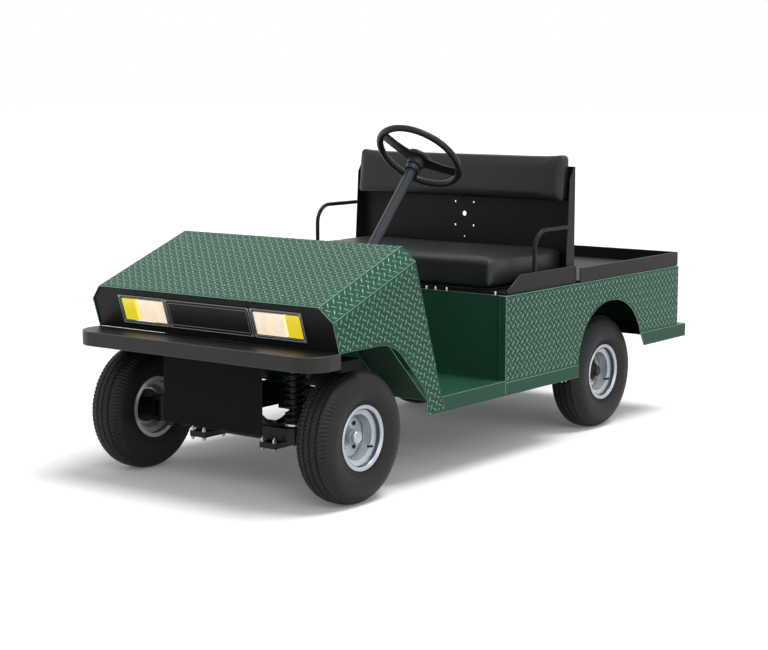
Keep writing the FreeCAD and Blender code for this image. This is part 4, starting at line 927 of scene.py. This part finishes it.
# Coil: a helix of the given turns round an upright line, carried as a tube; its frame is the radial direction
# and Z, so the wire keeps its round section.
def coilShape(centre, turns=9, steps=20):
    low, high, radius, wire = (hardware[key] for key in ("coilLow", "coilHigh", "coilRadius", "wire"))
    t = np.linspace(0, 1, turns * steps)[:, None]
    section = np.linspace(0, 2 * math.pi, 8, endpoint=False)[None]
    angle = t * turns * 2 * math.pi
    reach = radius + wire * np.cos(section)
    points = np.stack([centre[0] + reach * np.cos(angle), centre[1] + reach * np.sin(angle),
                       low + (high - low) * t + wire * np.sin(section)], -1)
    return cappedTube(points)


shocks = [(sign * hardware["shockX"], hardware["shockY"]) for sign in (-1, 1)]
makePiece("shock_coils", joined([coilShape(spot) for spot in shocks]), "darkSteel", chassis, 60)
collar = [(0, hardware["collar"]), (hardware["collarThick"], hardware["collar"])]
collars = [turnedShape(collar, (*spot, level), (0, 0, 1), 32)
           for spot in shocks for level in (hardware["collarLow"], hardware["coilHigh"])]
makePiece("shock_collars", joined(collars), "zinc", chassis, 40)

underSill = [boltShape((sign * hardware["studX"], y, hardware["studZ"]), (0, 0, -1), hardware["studBolt"],
                       0.012)
             for sign in (-1, 1) for y in hardware["studY"]]
makePiece("sill_studs", joined(underSill), "zinc", chassis, 40)

front = [turnedShape(hardware["frontStud"], (x, hardware["frontY"], hardware["frontZ"]), (0, 0, 1), 12)
         for x in hardware["frontX"]]
makePiece("seat_front_studs", joined(front), "zinc", chassis, 40)


# Thin light frame round a nose plate or bezel: a rectangle of tubes on the leaning face.
def frameShape(node, inset=0.003, radius=0.0016):
    low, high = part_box(node)
    corners = [(low[0] + inset, low[2] + inset), (high[0] - inset, low[2] + inset),
               (high[0] - inset, high[2] - inset), (low[0] + inset, high[2] - inset)]
    spots = [nosePoint(x, z, 0.0004) for x, z in corners]
    bars = []
    for first, second in zip(spots, spots[1:] + spots[:1]):
        bar = [(0, radius), (np.linalg.norm(second - first), radius)]
        bars.append(turnedShape(bar, first, second - first, 10))
    return joined(bars)


frames = [frameShape(node) for node in ("lamp_bezel_left", "lamp_bezel_right", "nose_plate")]
frames.append(frameShape("nose_plate", 0.013, 0.0010))
makePiece("nose_frames", joined(frames), "bezelEdge", chassis, 40)
print("hardware made")

# Studio: wide soft suns, a white dome and a pale floor that keeps the shadow.
studio = dict(place=(4.1518, -5.6338, 1.4431), azimuth=37.167, pitch=7.997, lens=83.605, floorSize=60.0,
              dome=0.42, seen=1.0, shadowShare=0.93, floorSeen=(1.0, 1.0, 1.0, 1), floorLit=(0.30, 0.30,
                                                                                             0.30, 1))
suns = dict(overhead=dict(toward=(-0.28, -0.16, -1.0), power=2.15, angle=26),
            key=dict(toward=(-0.62, 0.62, -0.60), power=0.55, angle=30),
            sideFill=dict(toward=(-1.0, 0.10, -0.30), power=0.55, angle=40))


# What a camera, glossy or transmission ray sees: the largest of the three Light Path answers.
def seenMask(tree, link):
    rays = tree.new("ShaderNodeLightPath").outputs
    glossy = mathNode(tree, link, "MAXIMUM", rays["Is Camera Ray"], rays["Is Glossy Ray"])
    return mathNode(tree, link, "MAXIMUM", glossy, rays["Is Transmission Ray"])


def makeFloor():
    size = studio["floorSize"]
    mesh = bpy.data.meshes.new("studio_floor")
    mesh.from_pydata([(-size, -size, 0), (size, -size, 0), (size, size, 0), (-size, size, 0)], [],
                     [(0, 1, 2, 3)])
    floor = bpy.data.objects.new("studio_floor", mesh)
    bpy.context.scene.collection.objects.link(floor)
    material = bpy.data.materials.new("paleFloor")
    material.use_nodes = True
    tree, link = material.node_tree.nodes, material.node_tree.links
    shader = tree["Principled BSDF"]
    shader.inputs["Roughness"].default_value = 0.9
    shader.inputs["Specular IOR Level"].default_value = 0.0
    white = tree.new("ShaderNodeEmission")
    mask = seenMask(tree, link)
    colour = mixColours(tree, link, mask, studio["floorLit"], studio["floorSeen"])
    link.new(colour, shader.inputs["Base Color"])
    share = mathNode(tree, link, "MULTIPLY", mask, 1 - studio["shadowShare"])
    mix = tree.new("ShaderNodeMixShader")
    link.new(share, mix.inputs[0])
    link.new(shader.outputs["BSDF"], mix.inputs[1])
    link.new(white.outputs["Emission"], mix.inputs[2])
    link.new(mix.outputs["Shader"], tree["Material Output"].inputs["Surface"])
    mesh.materials.append(material)


def makeSun(name, toward, power, angle):
    data = bpy.data.lights.new(name, "SUN")
    data.energy, data.angle = power, math.radians(angle)
    lamp = bpy.data.objects.new(name, data)
    lamp.location = Vector(toward) * -6
    lamp.rotation_mode = "QUATERNION"
    lamp.rotation_quaternion = Vector(toward).to_track_quat("-Z", "Y")
    bpy.context.scene.collection.objects.link(lamp)


def makeCamera():
    data = bpy.data.cameras.new("camera")
    data.lens, data.sensor_width = studio["lens"], 36
    camera = bpy.data.objects.new("camera", data)
    bpy.context.scene.collection.objects.link(camera)
    azimuth, pitch = math.radians(studio["azimuth"]), math.radians(studio["pitch"])
    level = math.cos(pitch)
    forward = Vector((-math.sin(azimuth) * level, math.cos(azimuth) * level, -math.sin(pitch)))
    camera.location = studio["place"]
    camera.rotation_mode = "QUATERNION"
    camera.rotation_quaternion = forward.to_track_quat("-Z", "Y")
    bpy.context.scene.camera = camera


def makeWorld():
    world = bpy.data.worlds.new("studio")
    bpy.context.scene.world = world
    world.use_nodes = True
    tree, link = world.node_tree.nodes, world.node_tree.links
    back = tree["Background"]
    back.inputs["Color"].default_value = (1, 1, 1, 1)
    strength = rangeNode(tree, link, seenMask(tree, link), 0.0, 1.0, studio["dome"], studio["seen"])
    link.new(strength, back.inputs["Strength"])


makeFloor()
for name, values in suns.items():
    makeSun(name, **values)
makeWorld()
makeCamera()
bpy.context.scene.view_settings.view_transform = "Standard"
print("studio made")
